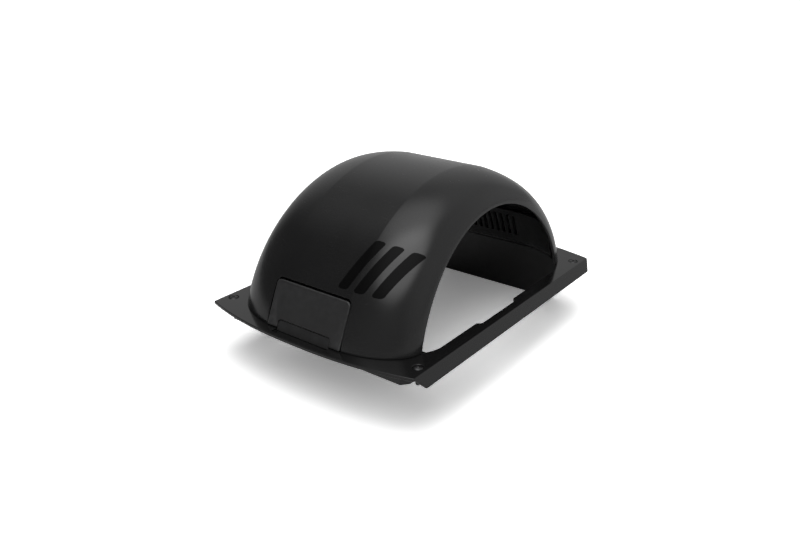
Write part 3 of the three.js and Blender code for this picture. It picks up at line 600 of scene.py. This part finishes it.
def wing(side):
    """The sloped wing along one side of the plate."""
    length = math.hypot(WING_OUT, WING_DROP)
    up = Vector((-WING_OUT, 0, WING_DROP)).normalized()
    out = Vector((0, 1, 0)).cross(up)
    corner = Vector((PLATE_HALF_WIDTH, 0, DECK)) - out * WING_THICKNESS
    rows = [(0, up.x, out.x, corner.x), (1, 0, 0, 0), (0, up.z, out.z, corner.z), (0, 0, 0, 1)]
    low = PLATE_CORNER_Y - WING_END_INSET
    outline = [(-low, -length), (low, -length), (PLATE_CORNER_Y, 0), (-PLATE_CORNER_Y, 0)]
    turn = Matrix.Rotation(0 if side > 0 else math.pi, 4, "Z")
    return prism(outline, 0, WING_THICKNESS, turn @ Matrix(rows))


def skirt_outline(inset):
    x = SKIRT_HALF_WIDTH - inset
    face_x = SKIRT_FACE_HALF_WIDTH - inset * 0.5
    y = -SKIRT_FACE_Y + inset
    back = -SKIRT_RETURN_Y + inset * 2
    return [(-face_x, y), (face_x, y), (x, y + SKIRT_CHAMFER), (x, back), (-x, back), (-x, y + SKIRT_CHAMFER)]


def striker(x):
    outline = [
        (-147.5 * MM, DECK - 1 * MM),
        (-144.5 * MM, DECK - 1 * MM),
        (-144.5 * MM, DECK + 11.5 * MM),
        (-147.8 * MM, DECK + 11.5 * MM),
        (-150.6 * MM, DECK + 9 * MM),
        (-150.6 * MM, DECK + 7.6 * MM),
        (-147.5 * MM, DECK + 6.7 * MM),
    ]
    return prism(outline, x - 4.5 * MM, x + 4.5 * MM, ALONG_X)


def knuckle(x0, x1):
    low = DECK - 1 * MM
    outline = [(HINGE_Y - KNUCKLE_RADIUS, low), (HINGE_Y + KNUCKLE_RADIUS, low)]
    return prism(outline + arc(HINGE_Y, HINGE_Z, KNUCKLE_RADIUS, 0, 180, 20), x0, x1, ALONG_X)


def middle_of(node):
    """The (x, y) of a CAD node's middle."""
    low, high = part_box(node)
    return (low.x + high.x) / 2, (low.y + high.y) / 2


def screw_places():
    """Middles of the four deck screws, by their corner."""
    corners = ("front_left", "front_right", "rear_left", "rear_right")
    return {corner: middle_of(f"deck_screw_{corner}") for corner in corners}


def base_frame():
    low, high = DECK - SKIRT_DROP, DECK - PLATE_THICKNESS / 2
    base = prism(plate_outline(), DECK - PLATE_THICKNESS, DECK)
    skirt = prism(skirt_outline(0), low, high)
    cut(skirt, prism(skirt_outline(SKIRT_THICKNESS), low - 1 * MM, high + 1 * MM))
    join(base, wing(1), wing(-1), skirt)
    cut(base, prism(opening_outline(), DECK - 30 * MM, DECK + 30 * MM))
    span = (-RECESS_HALF_WIDTH, RECESS_HALF_WIDTH, RECESS_FRONT_Y, RECESS_REAR_Y)
    cut(base, prism(rounded_rectangle(*span, 1 * MM, 3 * MM), DECK - RECESS_DEPTH, DECK + PAST))
    for radius, depth in ((SCREW_SEAT_RADIUS, SCREW_SEAT_DEPTH), (SCREW_HOLE_RADIUS, PAST)):
        cut(base, *[rod_z(radius, DECK - depth, DECK + PAST, x, y) for x, y in screw_places().values()])
    weld(base, 0.05 * MM)
    round_edges(base, FRAME_ROUNDING, clamp=False)
    fittings = [striker(side * LATCH_X) for side in (-1, 1)] + [knuckle(x0, x1) for x0, x1 in KNUCKLES]
    for fitting in fittings:
        round_edges(fitting, 0.3 * MM, 2)
    join(base, *fittings)
    cut(base, rod_x(HINGE_PIN_RADIUS + GAP, -60 * MM, 60 * MM, HINGE_Y, HINGE_Z))
    return shade(base)


def splash_wall():
    top = DECK - PLATE_THICKNESS - GAP
    front = OPENING_REAR_Y
    back = front + SPLASH_THICKNESS
    shoulder = DECK - SKIRT_DROP
    foot = SPLASH_FOOT_HALF_WIDTH
    right = [(foot - SPLASH_CORNER, 0)]
    for i in range(1, 9):
        t = i / 8
        x = foot - SPLASH_CORNER * (1 - t) ** 2 + 2 * MM * t**2
        right.append((x, SPLASH_CORNER * t**2))
    right += [(SPLASH_TOP_HALF_WIDTH, shoulder), (SPLASH_TOP_HALF_WIDTH, top)]
    wall = prism(right + [(-x, z) for x, z in reversed(right)], -back, -front, ALONG_Y)
    flange_x = SPLASH_FLANGE_HALF_WIDTH
    join(wall, box(-flange_x, flange_x, front, front + SPLASH_FLANGE, top - SPLASH_FLANGE_THICKNESS, top))
    gusset = [
        (back + 8 * MM, top - 2 * MM),
        (back, top - 14 * MM),
        (back - 1 * MM, top - 14 * MM),
        (back - 1 * MM, top - 1 * MM),
    ]
    half = GUSSET_THICKNESS / 2
    join(wall, *[prism(gusset, x - half, x + half, ALONG_X) for x in GUSSET_X])
    round_edges(wall, 0.5 * MM)
    places = [middle_of(f"splash_screw_{number}") for number in range(1, 5)]
    cut(wall, *[rod_z(FLANGE_HOLE_RADIUS, top - 5 * MM, top + 2 * MM, x, y, 24) for x, y in places])
    return shade(wall)


# Release lever ----------------------------------------------------------------------------------


def release_panel():
    outline = rounded_rectangle(-PANEL_HALF_WIDTH, PANEL_HALF_WIDTH, 0, PANEL_HEIGHT, PANEL_CORNER)
    notch = rounded_rectangle(-SCOOP_HALF_WIDTH, SCOOP_HALF_WIDTH, -4 * MM, SCOOP_HEIGHT, SCOOP_CORNER)
    panel = panel_prism(outline, PANEL_THICKNESS, 0)
    cut(panel, panel_prism(notch, 20 * MM, -4 * MM))
    cut(panel, box(-FAR, FAR, -170 * MM, -140 * MM, DECK - 10 * MM, DECK + 0.5 * MM))
    round_edges(panel, 1.1 * MM, 4, clamp=False)
    lugs = [rod_x(LUG_RADIUS, x - 5 * MM, x + 5 * MM, PIVOT.y, PIVOT.z) for x in (-LUG_X, LUG_X)]
    back = PANEL @ Vector((0, 8.2 * MM, 1 * MM - PANEL_THICKNESS))
    foot = PANEL @ Vector((0, 2 * MM, 1 * MM - PANEL_THICKNESS))
    hook = [
        (foot.y, foot.z),
        (-148.8 * MM, DECK + 1.4 * MM),
        (-148.2 * MM, DECK + 2 * MM),
        (-148.2 * MM, DECK + 5.9 * MM),
        (-151.2 * MM, DECK + 6.8 * MM),
        (back.y, back.z),
    ]
    hooks = [prism(hook, x - HOOK_HALF_WIDTH, x + HOOK_HALF_WIDTH, ALONG_X) for x in (-LATCH_X, LATCH_X)]
    join(panel, *lugs, *hooks)
    pocket = rounded_rectangle(-6.5 * MM, 6.5 * MM, 24 * MM, PANEL_HEIGHT - 1.2 * MM, 1 * MM)
    bore = rod_x(PANEL_PIN_RADIUS + GAP, -60 * MM, 60 * MM, PIVOT.y, PIVOT.z)
    cut(panel, bore, panel_prism(pocket, 20 * MM, 1.5 * MM))
    return shade(panel)


def finger_scoop():
    """The insert in the panel's notch. Its face reaches down into the recess in the plate."""
    width = SCOOP_HALF_WIDTH + 1 * MM
    behind = rounded_rectangle(-width, width, -4 * MM, SCOOP_HEIGHT + 3 * MM, 2 * MM)
    body = panel_prism(behind, 8 * MM, PANEL_THICKNESS + GAP)
    above = box(-width, width, -170 * MM, -146.8 * MM, DECK + 0.7 * MM, DECK + 9.3 * MM)
    combine("INTERSECT", body, above)
    edge, top = SCOOP_HALF_WIDTH - 0.35 * MM, SCOOP_HEIGHT - 0.35 * MM
    front = rounded_rectangle(-edge, edge, -6 * MM, top, SCOOP_CORNER - 0.3 * MM)
    face = panel_prism(front, 5 * MM, SCOOP_DEPTH)
    within = box(-width, width, -170 * MM, -150 * MM, DECK - RECESS_DEPTH + 0.4 * MM, DECK + 20 * MM)
    combine("INTERSECT", face, within)
    join(body, face)
    round_edges(body, 0.25 * MM, 2, 40)
    return shade(weld(body, 0.005 * MM))


# Inside the shell -------------------------------------------------------------------------------


def wall_arc(inset, low, high, rear=True):
    """Points (y, z) of the flat middle's circle at this inset, between two heights."""
    radius = CROWN_RADIUS - inset
    side = 1 if rear else -1
    steps = 24
    heights = [low + (high - low) * i / steps for i in range(steps + 1)]
    return [(side * math.sqrt(radius**2 - (z - CROWN_CENTRE_Z) ** 2), z) for z in heights]


def latch_housing():
    """The tray behind the panel, which carries its pin."""
    face = wall_arc(WALL + 1.2 * MM, TRAY_LOW, TRAY_TOP, rear=False)
    back = [(TRAY_HEAD_Y, TRAY_TOP), (TRAY_HEAD_Y, TRAY_TOP - 2 * MM), (TRAY_FOOT_Y, TRAY_LOW)]
    tray = prism(face + back, -TRAY_HALF_WIDTH, TRAY_HALF_WIDTH, ALONG_X)
    inner = [
        (-FAR, TRAY_LOW - 2 * MM),
        (TRAY_FOOT_Y - TRAY_BACK, TRAY_LOW - 2 * MM),
        (TRAY_FOOT_Y - TRAY_BACK, TRAY_LOW),
        (TRAY_HEAD_Y - TRAY_BACK, TRAY_TOP - 3 * MM),
        (-FAR, TRAY_TOP - 3 * MM),
    ]
    inner_half = TRAY_HALF_WIDTH - TRAY_WALL
    cut(tray, prism(inner, -inner_half, inner_half, ALONG_X))
    round_edges(tray, 0.5 * MM)
    tabs = []
    for x, height in HOUSING_SCREWS:
        if height > 20 * MM:
            ends = (x - TAB_HALF_WIDTH, x + TAB_HALF_WIDTH)
            low, high = TRAY_TOP - 4 * MM, DECK + height + 6 * MM
        else:
            ends = sorted((math.copysign(inner_half + 0.2 * MM, x), x + math.copysign(6 * MM, x)))
            low, high = DECK + height - TAB_HALF_WIDTH, DECK + height + TAB_HALF_WIDTH
        tabs.append(round_edges(patch(across(*ends, 8), low, high, TAB_THICKNESS, 10), 0.4 * MM))
    join(tray, *tabs)
    holes = wall_rods(TRAY_HOLE_RADIUS, -12 * MM, 12 * MM, HOUSING_SCREWS)
    cut(tray, rod_x(PANEL_PIN_RADIUS + GAP, -60 * MM, 60 * MM, PIVOT.y, PIVOT.z), *holes)
    return shade(tray)


def rear_liner():
    """The slotted liner inside the rear foot, from side to side."""
    low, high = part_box("rib_plate")
    liner = patch(across(low.x, high.x, 120), low.z, high.z, LINER_THICKNESS, 24, rear=True)
    slots = []
    for index in range(SLOT_COUNT):
        x = (index - (SLOT_COUNT - 1) / 2) * SLOT_PITCH
        outline = rounded_rectangle(x - SLOT_HALF_WIDTH, x + SLOT_HALF_WIDTH, SLOT_LOW, SLOT_HIGH, 0.6 * MM)
        slots.append(prism(outline, -170 * MM, -100 * MM, ALONG_Y))
    cut(liner, *slots)
    round_edges(liner, 0.35 * MM, 2, 50)
    cut(liner, *wall_rods(CLIP_HOLE_RADIUS, -PAST, PAST, CLIP_SCREWS, rear=True))
    return shade(liner)


def hinge_clip(node):
    """A clip on the shell's rear that snaps over the hinge pin."""
    low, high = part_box(node)
    plate_low, plate_high = DECK + 7 * MM, DECK + 43 * MM
    near, far = -CURVE_GAP, -CURVE_GAP - CLIP_THICKNESS
    outline = wall_arc(far, plate_low, plate_high) + wall_arc(near, plate_low, plate_high)[::-1]
    clip = prism(outline, low.x, high.x, ALONG_X)
    web = wall_arc(near - 1 * MM, DECK + 7.3 * MM, DECK + 17.5 * MM)[::-1]
    web += [(160.6 * MM, DECK + 5.2 * MM), (HINGE_Y, HINGE_Z), (HINGE_Y, HINGE_Z + KNUCKLE_RADIUS)]
    join(clip, prism(web, low.x, high.x, ALONG_X), rod_x(KNUCKLE_RADIUS, low.x, high.x, HINGE_Y, HINGE_Z))
    mouth = box(low.x - MM, high.x + MM, HINGE_Y - CLIP_MOUTH, HINGE_Y + CLIP_MOUTH, DECK - 5 * MM, HINGE_Z)
    cut(clip, rod_x(HINGE_PIN_RADIUS + GAP, low.x - MM, high.x + MM, HINGE_Y, HINGE_Z), mouth)
    round_edges(clip, 0.4 * MM, 3, 40)
    places = [(x, height) for x, height in CLIP_SCREWS if low.x < x < high.x]
    cut(clip, *wall_rods(CLIP_HOLE_RADIUS, -PAST, PAST, places, rear=True))
    return shade(clip)


# Screws, pins and spring ------------------------------------------------------------------------


def hex_socket(radius, low, high, matrix):
    return prism(circle(radius, 6), low, high, matrix)


def deck_screw(place):
    seat = -SCREW_SEAT_DEPTH + GAP
    dome = arc(0, -7.6 * MM, 8.35 * MM, 60.5, 88, 8)
    profile = [
        (0, -16 * MM),
        (1.6 * MM, -16 * MM),
        (2.1 * MM, -15 * MM),
        (2.1 * MM, seat),
        (4.0 * MM, seat),
        (4.2 * MM, seat + 0.2 * MM),
        (4.2 * MM, -0.5 * MM),
        *dome,
        (0, 0.75 * MM),
    ]
    matrix = Matrix.Translation((*place, DECK))
    screw = turned("deck_screw", profile, matrix)
    cut(screw, hex_socket(1.5 * MM, -1 * MM, 3 * MM, matrix))
    return shade(screw)


def small_screw(head_radius, head_height, shank_radius, shank_length, matrix):
    """A pan-head screw with a cross recess, its head at z = 0 and its shank along +Z."""
    rounding = 0.4 * head_height
    profile = [
        (0, -head_height),
        (head_radius * 0.55, -head_height),
        (head_radius * 0.8, -head_height * 0.9),
        (head_radius * 0.95, -head_height + rounding),
        (head_radius, -head_height + 2 * rounding),
        (head_radius, 0),
        (shank_radius, 0),
        (shank_radius, shank_length - 0.6 * MM),
        (shank_radius * 0.6, shank_length),
        (0, shank_length),
    ]
    screw = turned("small_screw", profile, matrix, 32)
    arm, half = head_radius * 0.55, head_radius * 0.13
    low = -head_height * 1.5
    bars = []
    for quarter in range(2):
        turn = matrix @ Matrix.Rotation(math.pi / 2 * quarter, 4, "Z")
        outline = [(-arm, -half), (arm, -half), (arm, half), (-arm, half)]
        bars.append(prism(outline, low, -head_height * 0.45, turn))
    cut(screw, *bars)
    return shade(weld(screw, 0.005 * MM))


def panel_spring():
    """The torsion spring round the panel's pin, swept from its own path."""
    turns, radius, half = 4.5, 2.45 * MM, 4 * MM
    steps = int(turns * 24)
    behind = radius - 5.8 * MM
    leg = [(-half - 0.9 * MM, 27 * MM, behind), (-half - 0.5 * MM, 33 * MM, behind)]
    path = [PANEL @ Vector(point) for point in leg]
    for step in range(steps + 1):
        angle = math.pi - PANEL_TILT - step / steps * turns * 2 * math.pi
        x = -half + 2 * half * step / steps
        path.append(Vector((x, PIVOT.y + radius * math.cos(angle), PIVOT.z + radius * math.sin(angle))))
    end = path[-1]
    path.append(Vector((half + 0.5 * MM, end.y - 0.8 * MM, end.z - 4 * MM)))
    path.append(Vector((half + 0.9 * MM, end.y - 2 * MM, end.z - 9 * MM)))
    curve = bpy.data.curves.new("spring_path", "CURVE")
    curve.dimensions = "3D"
    curve.bevel_depth = 0.5 * MM
    curve.bevel_resolution = 3
    curve.use_fill_caps = True
    spline = curve.splines.new("POLY")
    spline.points.add(len(path) - 1)
    for point, place in zip(spline.points, path):
        point.co = (*place, 1)
    swept = bpy.data.objects.new("spring_path", curve)
    bpy.context.scene.collection.objects.link(swept)
    graph = bpy.context.evaluated_depsgraph_get()
    mesh = bpy.data.meshes.new_from_object(swept.evaluated_get(graph))
    bpy.data.objects.remove(swept)
    bpy.data.curves.remove(curve)
    spring = bpy.data.objects.new("panel_spring_wire", mesh)
    bpy.context.scene.collection.objects.link(spring)
    mesh.polygons.foreach_set("use_smooth", [True] * len(mesh.polygons))
    return weld(spring, 0.001 * MM)


# Shoulder marks ---------------------------------------------------------------------------------


MARK_LOW, MARK_HIGH = math.radians(33.5), math.radians(50.5)  # round the arch from the front
MARK_SLANT = 17 * MM
MARK_WIDTH = 10.5 * MM
MARK_PITCH = 17 * MM
MARK_FIRST = 37 * MM
MARK_CORNER = 3 * MM


def mark_stripe(number):
    """A thin stripe with rounded ends on the right shoulder, slanted outward as it rises."""
    rows, steps = 60, 10
    length = (MARK_HIGH - MARK_LOW) * CROWN_RADIUS
    grids = []
    for inset in (-0.12 * MM, 0.4 * MM):
        grid = []
        for row in range(rows + 1):
            rise = row / rows
            from_end = MARK_CORNER - min(MARK_CORNER, min(rise, 1 - rise) * length)
            half = MARK_WIDTH / 2 - MARK_CORNER + math.sqrt(MARK_CORNER**2 - from_end**2)
            middle = MARK_FIRST + number * MARK_PITCH + MARK_SLANT * (rise - 0.5)
            theta = MARK_LOW + (MARK_HIGH - MARK_LOW) * rise
            line = []
            for step in range(steps + 1):
                x = middle + half * (2 * step / steps - 1)
                line.append(Column(1, x=x).point(theta, inset))
            grid.append(line)
        grids.append(grid)
    stripe = sheet_solid("mark", *grids)
    stripe.data.polygons.foreach_set("use_smooth", [True] * len(stripe.data.polygons))
    stripe.data.set_sharp_from_angle(angle=math.radians(50))
    return stripe


# Materials --------------------------------------------------------------------------------------


class Nodes:
    """Short calls for building a node tree."""

    def __init__(self, tree):
        self.tree = tree
        tree.nodes.clear()

    def add(self, kind, **settings):
        node = self.tree.nodes.new(kind)
        for key, value in settings.items():
            setattr(node, key, value)
        return node

    def link(self, source, target):
        self.tree.links.new(source, target)

    def noise(self, coordinates, scale, detail=3.0, roughness=0.5):
        node = self.add("ShaderNodeTexNoise")
        node.inputs["Scale"].default_value = scale
        node.inputs["Detail"].default_value = detail
        node.inputs["Roughness"].default_value = roughness
        self.link(coordinates, node.inputs["Vector"])
        return node.outputs["Fac"]

    def remap(self, value, low, high, to_low, to_high):
        node = self.add("ShaderNodeMapRange")
        node.clamp = True
        for name, number in zip(("From Min", "From Max", "To Min", "To Max"), (low, high, to_low, to_high)):
            node.inputs[name].default_value = number
        self.link(value, node.inputs["Value"])
        return node.outputs["Result"]

    def maths(self, operation, a, b):
        node = self.add("ShaderNodeMath", operation=operation)
        for socket, value in zip(node.inputs, (a, b)):
            if isinstance(value, (int, float)):
                socket.default_value = value
            else:
                self.link(value, socket)
        return node.outputs[0]

    def mix(self, factor, a, b):
        node = self.add("ShaderNodeMix", data_type="RGBA")
        for name, kind, value in (("Factor", "VALUE", factor), ("A", "RGBA", a), ("B", "RGBA", b)):
            socket = next(s for s in node.inputs if s.name == name and s.type == kind)
            if isinstance(value, tuple):
                socket.default_value = (*value, 1)
            else:
                self.link(value, socket)
        return next(s for s in node.outputs if s.type == "RGBA")


def grey(level):
    return (level, level, level * 1.02)


def new_material(name):
    """A new material, its nodes, its principled shader and the object's own coordinates."""
    material = bpy.data.materials.new(name)
    material.use_nodes = True
    nodes = Nodes(material.node_tree)
    output = nodes.add("ShaderNodeOutputMaterial")
    shader = nodes.add("ShaderNodeBsdfPrincipled")
    nodes.link(shader.outputs["BSDF"], output.inputs["Surface"])
    return material, nodes, shader, nodes.add("ShaderNodeTexCoord").outputs["Object"]


def add_bump(nodes, shader, height, strength, distance):
    bump = nodes.add("ShaderNodeBump")
    bump.inputs["Strength"].default_value = strength
    bump.inputs["Distance"].default_value = distance
    nodes.link(height, bump.inputs["Height"])
    nodes.link(bump.outputs["Normal"], shader.inputs["Normal"])


def plastic(name, level, roughness, grain, edge_tone_wear_and_highlight=2.6, grain_scale=1800.0, shine=0.5):
    """Moulded plastic: fine spark-eroded grain, slow changes of tone, faint scuffs, and paler edges that are
    partly wear and partly a painted highlight.
    """
    material, nodes, shader, place = new_material(name)
    shader.inputs["Specular IOR Level"].default_value = shine

    slow = nodes.noise(place, 14.0, 2.0)
    fine = nodes.noise(place, grain_scale, 2.0, 0.6)
    scuff_place = nodes.add("ShaderNodeMapping")
    scuff_place.inputs["Scale"].default_value = (40.0, 260.0, 900.0)
    scuff_place.inputs["Rotation"].default_value = (0.5, 0.3, 0.9)
    nodes.link(place, scuff_place.inputs["Vector"])
    scuffs = nodes.remap(nodes.noise(scuff_place.outputs["Vector"], 1.0, 4.0, 0.65), 0.62, 0.78, 0.0, 1.0)
    # paler where the surface is pointy: partly wear, partly a painted highlight along the rounded edges
    edges = nodes.add("ShaderNodeNewGeometry").outputs["Pointiness"]
    patches = nodes.remap(nodes.noise(place, 180.0), 0.4, 0.65, 0.25, 1.0)
    wear_and_highlight_edges = nodes.maths("MULTIPLY", nodes.remap(edges, 0.52, 0.62, 0.0, 1.0), patches)

    tone = nodes.mix(nodes.remap(slow, 0.3, 0.7, 0.0, 1.0), grey(level * 0.88), grey(level * 1.12))
    tone = nodes.mix(nodes.maths("MULTIPLY", scuffs, 0.3), tone, grey(level * 2.0))
    tone = nodes.mix(nodes.maths("MULTIPLY", wear_and_highlight_edges, 0.6), tone, grey(level * edge_tone_wear_and_highlight))
    nodes.link(tone, shader.inputs["Base Color"])

    gloss = nodes.remap(slow, 0.3, 0.7, roughness - 0.03, roughness + 0.03)
    gloss = nodes.maths("ADD", gloss, nodes.maths("MULTIPLY", scuffs, 0.1))
    gloss = nodes.maths("ADD", gloss, nodes.remap(fine, 0.3, 0.7, -0.03, 0.03))
    nodes.link(gloss, shader.inputs["Roughness"])

    height = nodes.maths("ADD", fine, nodes.maths("MULTIPLY", scuffs, -0.3))
    add_bump(nodes, shader, height, grain, 0.02 * MM)
    return material


def steel(name, level, roughness):
    """Steel with a fine, even grain of tool marks and slight stains."""
    material, nodes, shader, place = new_material(name)
    shader.inputs["Metallic"].default_value = 1.0
    stains = nodes.noise(place, 260.0, 4.0, 0.6)
    tool_marks = nodes.noise(place, 4200.0, 1.0)
    tone = nodes.mix(nodes.remap(stains, 0.35, 0.7, 0.0, 1.0), grey(level), grey(level * 0.7))
    nodes.link(tone, shader.inputs["Base Color"])
    nodes.link(nodes.remap(stains, 0.3, 0.7, roughness - 0.06, roughness + 0.08), shader.inputs["Roughness"])
    add_bump(nodes, shader, tool_marks, 0.3, 0.01 * MM)
    return material


SHELL_PLASTIC = plastic("satin_shell", 0.0090, 0.22, 0.15)
FRAME_PLASTIC = plastic("satin_frame", 0.0065, 0.13, 0.12, edge_tone_wear_and_highlight=1.5)
# its much paler edges are mostly a painted highlight along the panel's rounded edges, with a little wear
PANEL_PLASTIC = plastic("matte_panel", 0.018, 0.40, 0.5, edge_tone_wear_and_highlight=14.0, grain_scale=1300.0)
INNER_PLASTIC = plastic("matte_inside", 0.015, 0.38, 0.4, grain_scale=1300.0)
MARK_INK = plastic("mark_ink", 0.0032, 0.3, 0.1, edge_tone_wear_and_highlight=1.0, shine=0.06)
BLACK_STEEL = steel("oiled_steel", 0.08, 0.3)
BRIGHT_STEEL = steel("ground_steel", 0.48, 0.28)


# Assembly ---------------------------------------------------------------------------------------


def pin(node, radius):
    """A pin with chamfered ends, in its CAD node's place."""
    low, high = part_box(node)
    y, z = (low.y + high.y) / 2, (low.z + high.z) / 2
    return shade(round_edges(rod_x(radius, low.x, high.x, y, z, 48), 0.35 * MM, 2, 60))


def add_mouldings():
    finish_piece(arch_shell(), "fender_shell", "shell", SHELL_PLASTIC, ["arch_shell"])
    finish_piece(base_frame(), "deck_frame", "frame", FRAME_PLASTIC, ["base_frame"])
    splash = splash_wall()
    finish_piece(splash, "rear_splash_wall", "frame", INNER_PLASTIC, ["splash_wall"])
    panel = release_panel()
    finish_piece(panel, "lever_panel", "release_lever", PANEL_PLASTIC, ["release_panel"])
    scoop = finger_scoop()
    finish_piece(scoop, "lever_scoop", "release_lever", INNER_PLASTIC, ["finger_scoop"])
    finish_piece(latch_housing(), "latch_tray", "shell", INNER_PLASTIC, ["latch_housing"])
    finish_piece(rear_liner(), "slotted_liner", "shell", INNER_PLASTIC, ["rib_plate"])
    for side in ("left", "right"):
        node = f"hinge_clip_{side}"
        clip = hinge_clip(node)
        finish_piece(clip, f"snap_clip_{side}", "shell", FRAME_PLASTIC, [node])


def add_fastener(screw, name, body, node):
    finish_piece(screw, name, body, BLACK_STEEL, [node])


def add_fasteners():
    for corner, place in screw_places().items():
        add_fastener(deck_screw(place), f"button_screw_{corner}", "frame", f"deck_screw_{corner}")
    under_flange = DECK - PLATE_THICKNESS - SPLASH_FLANGE_THICKNESS - 2 * GAP
    for number in range(1, 5):
        node = f"splash_screw_{number}"
        matrix = Matrix.Translation((*middle_of(node), under_flange))
        screw = small_screw(2.8 * MM, 1.8 * MM, 1.2 * MM, 4.6 * MM, matrix)
        add_fastener(screw, f"flange_screw_{number}", "frame", node)
    for number, (x, height) in enumerate(HOUSING_SCREWS, 1):
        matrix = wall_matrix(x, height, WALL + 5.6 * MM)
        screw = small_screw(3.6 * MM, 1.6 * MM, 1.2 * MM, 4.2 * MM, matrix)
        add_fastener(screw, f"tray_screw_{number}", "shell", f"housing_screw_{number}")
    on_clip = -CLIP_THICKNESS - CURVE_GAP - GAP
    for number, (x, height) in enumerate(CLIP_SCREWS, 1):
        matrix = wall_matrix(x, height, on_clip, rear=True) @ Matrix.Rotation(math.pi, 4, "X")
        screw = small_screw(2.9 * MM, 1.8 * MM, 1.5 * MM, 8.4 * MM, matrix)
        add_fastener(screw, f"hinge_screw_{number}", "shell", f"clip_screw_{number}")


def add_bright_steel():
    for made, name, body, node in (
        (pin("hinge_pin", HINGE_PIN_RADIUS), "rear_hinge_pin", "frame", "hinge_pin"),
        (pin("panel_pin", PANEL_PIN_RADIUS), "lever_pin", "shell", "panel_pin"),
        (panel_spring(), "lever_spring", "shell", "panel_spring"),
    ):
        finish_piece(made, name, body, BRIGHT_STEEL, [node])


def add_marks():
    for number in range(3):
        finish_piece(mark_stripe(number), f"shoulder_mark_{number + 1}", "shell", MARK_INK)


add_mouldings()
add_fasteners()
add_bright_steel()
add_marks()


# Floor, light and camera ------------------------------------------------------------------------


FLOOR_REACH = 8  # from the middle to each side
FLOOR_GLOW = 0.13
FLOOR_SEEN = 0.72  # tone of each of the two layers that the camera sees
FLOOR_PLAIN = 0.55  # tone that everything else sees


def floor():
    """A pale, plain floor. What it mirrors back into the object is dimmer than what the camera sees."""
    made = box(-FLOOR_REACH, FLOOR_REACH, -FLOOR_REACH, FLOOR_REACH, -10 * MM, -0.3 * MM)
    made.name = "floor"
    material = bpy.data.materials.new("floor")
    material.use_nodes = True
    nodes = Nodes(material.node_tree)
    output = nodes.add("ShaderNodeOutputMaterial")
    glow = nodes.add("ShaderNodeEmission")
    glow.inputs["Strength"].default_value = FLOOR_GLOW
    seen = glow
    for _ in range(2):
        part = nodes.add("ShaderNodeBsdfDiffuse")
        part.inputs["Color"].default_value = (FLOOR_SEEN, FLOOR_SEEN, FLOOR_SEEN, 1)
        total = nodes.add("ShaderNodeAddShader")
        nodes.link(seen.outputs[0], total.inputs[0])
        nodes.link(part.outputs[0], total.inputs[1])
        seen = total
    plain = nodes.add("ShaderNodeBsdfDiffuse")
    plain.inputs["Color"].default_value = (FLOOR_PLAIN, FLOOR_PLAIN, FLOOR_PLAIN, 1)
    choice = nodes.add("ShaderNodeMixShader")
    nodes.link(nodes.add("ShaderNodeLightPath").outputs["Is Camera Ray"], choice.inputs[0])
    nodes.link(plain.outputs[0], choice.inputs[1])
    nodes.link(seen.outputs[0], choice.inputs[2])
    nodes.link(choice.outputs[0], output.inputs["Surface"])
    made.data.materials.append(material)


# azimuth from +Y towards +X and elevation of its middle, the angles from there between which it fades
# out, and its strength
SOFTBOXES = [
    (250, 82, 12, 28, 1.5),  # overhead
    (160, 62, 20, 30, 2.5),  # high in front
    (56, 30, 23, 70, 0.6),  # behind, to the right
    (310, 60, 6, 44, 0.3),  # high on the left
    (318, 10, 2, 44, 0.54),  # low behind, to the left
    (150, 0, 20, 76, 0.3),  # low in front, to the right
]
ROOM = 0.085  # the dim room between them


def studio():
    """Plain soft studio light: a dim room with broad softboxes, brightest overhead."""
    world = bpy.data.worlds.new("studio")
    bpy.context.scene.world = world
    world.use_nodes = True
    nodes = Nodes(world.node_tree)
    output = nodes.add("ShaderNodeOutputWorld")
    way = nodes.add("ShaderNodeTexCoord").outputs["Generated"]
    light = ROOM
    for azimuth, elevation, near, far, strength in SOFTBOXES:
        a, e = math.radians(azimuth), math.radians(elevation)
        dot = nodes.add("ShaderNodeVectorMath", operation="DOT_PRODUCT")
        dot.inputs[1].default_value = (math.sin(a) * math.cos(e), math.cos(a) * math.cos(e), math.sin(e))
        nodes.link(way, dot.inputs[0])
        edge, middle = math.cos(math.radians(far)), math.cos(math.radians(near))
        box_light = nodes.remap(dot.outputs["Value"], edge, middle, 0.0, strength)
        light = nodes.maths("ADD", box_light, light)
    background = nodes.add("ShaderNodeBackground")
    nodes.link(light, background.inputs["Strength"])
    nodes.link(background.outputs[0], output.inputs["Surface"])

    overhead = bpy.data.lights.new("overhead", "AREA")
    overhead.shape = "RECTANGLE"
    overhead.size, overhead.size_y = 1.6, 1.6
    overhead.energy = 6
    lamp = bpy.data.objects.new("overhead", overhead)
    lamp.location = (0.2, 0.2, 1.5)
    lamp.visible_glossy = False
    bpy.context.scene.collection.objects.link(lamp)


CAMERA_PLACE = (0.4349, -0.5910, 0.3814)
CAMERA_AZIMUTH = math.radians(37.3)  # from the front towards +X
CAMERA_ELEVATION = math.radians(23.05)
CAMERA_LENS = 35.76  # in millimetres, on a sensor 36 wide


def camera():
    data = bpy.data.cameras.new("camera")
    data.lens = CAMERA_LENS
    data.sensor_width = 36
    level = math.cos(CAMERA_ELEVATION)
    x, y = -math.sin(CAMERA_AZIMUTH) * level, math.cos(CAMERA_AZIMUTH) * level
    view = Vector((x, y, -math.sin(CAMERA_ELEVATION)))
    made = bpy.data.objects.new("camera", data)
    made.location = CAMERA_PLACE
    made.rotation_mode = "QUATERNION"
    made.rotation_quaternion = view.to_track_quat("-Z", "Y")
    bpy.context.scene.collection.objects.link(made)
    bpy.context.scene.camera = made


floor()
studio()
camera()
bpy.context.scene.view_settings.view_transform = "Standard"
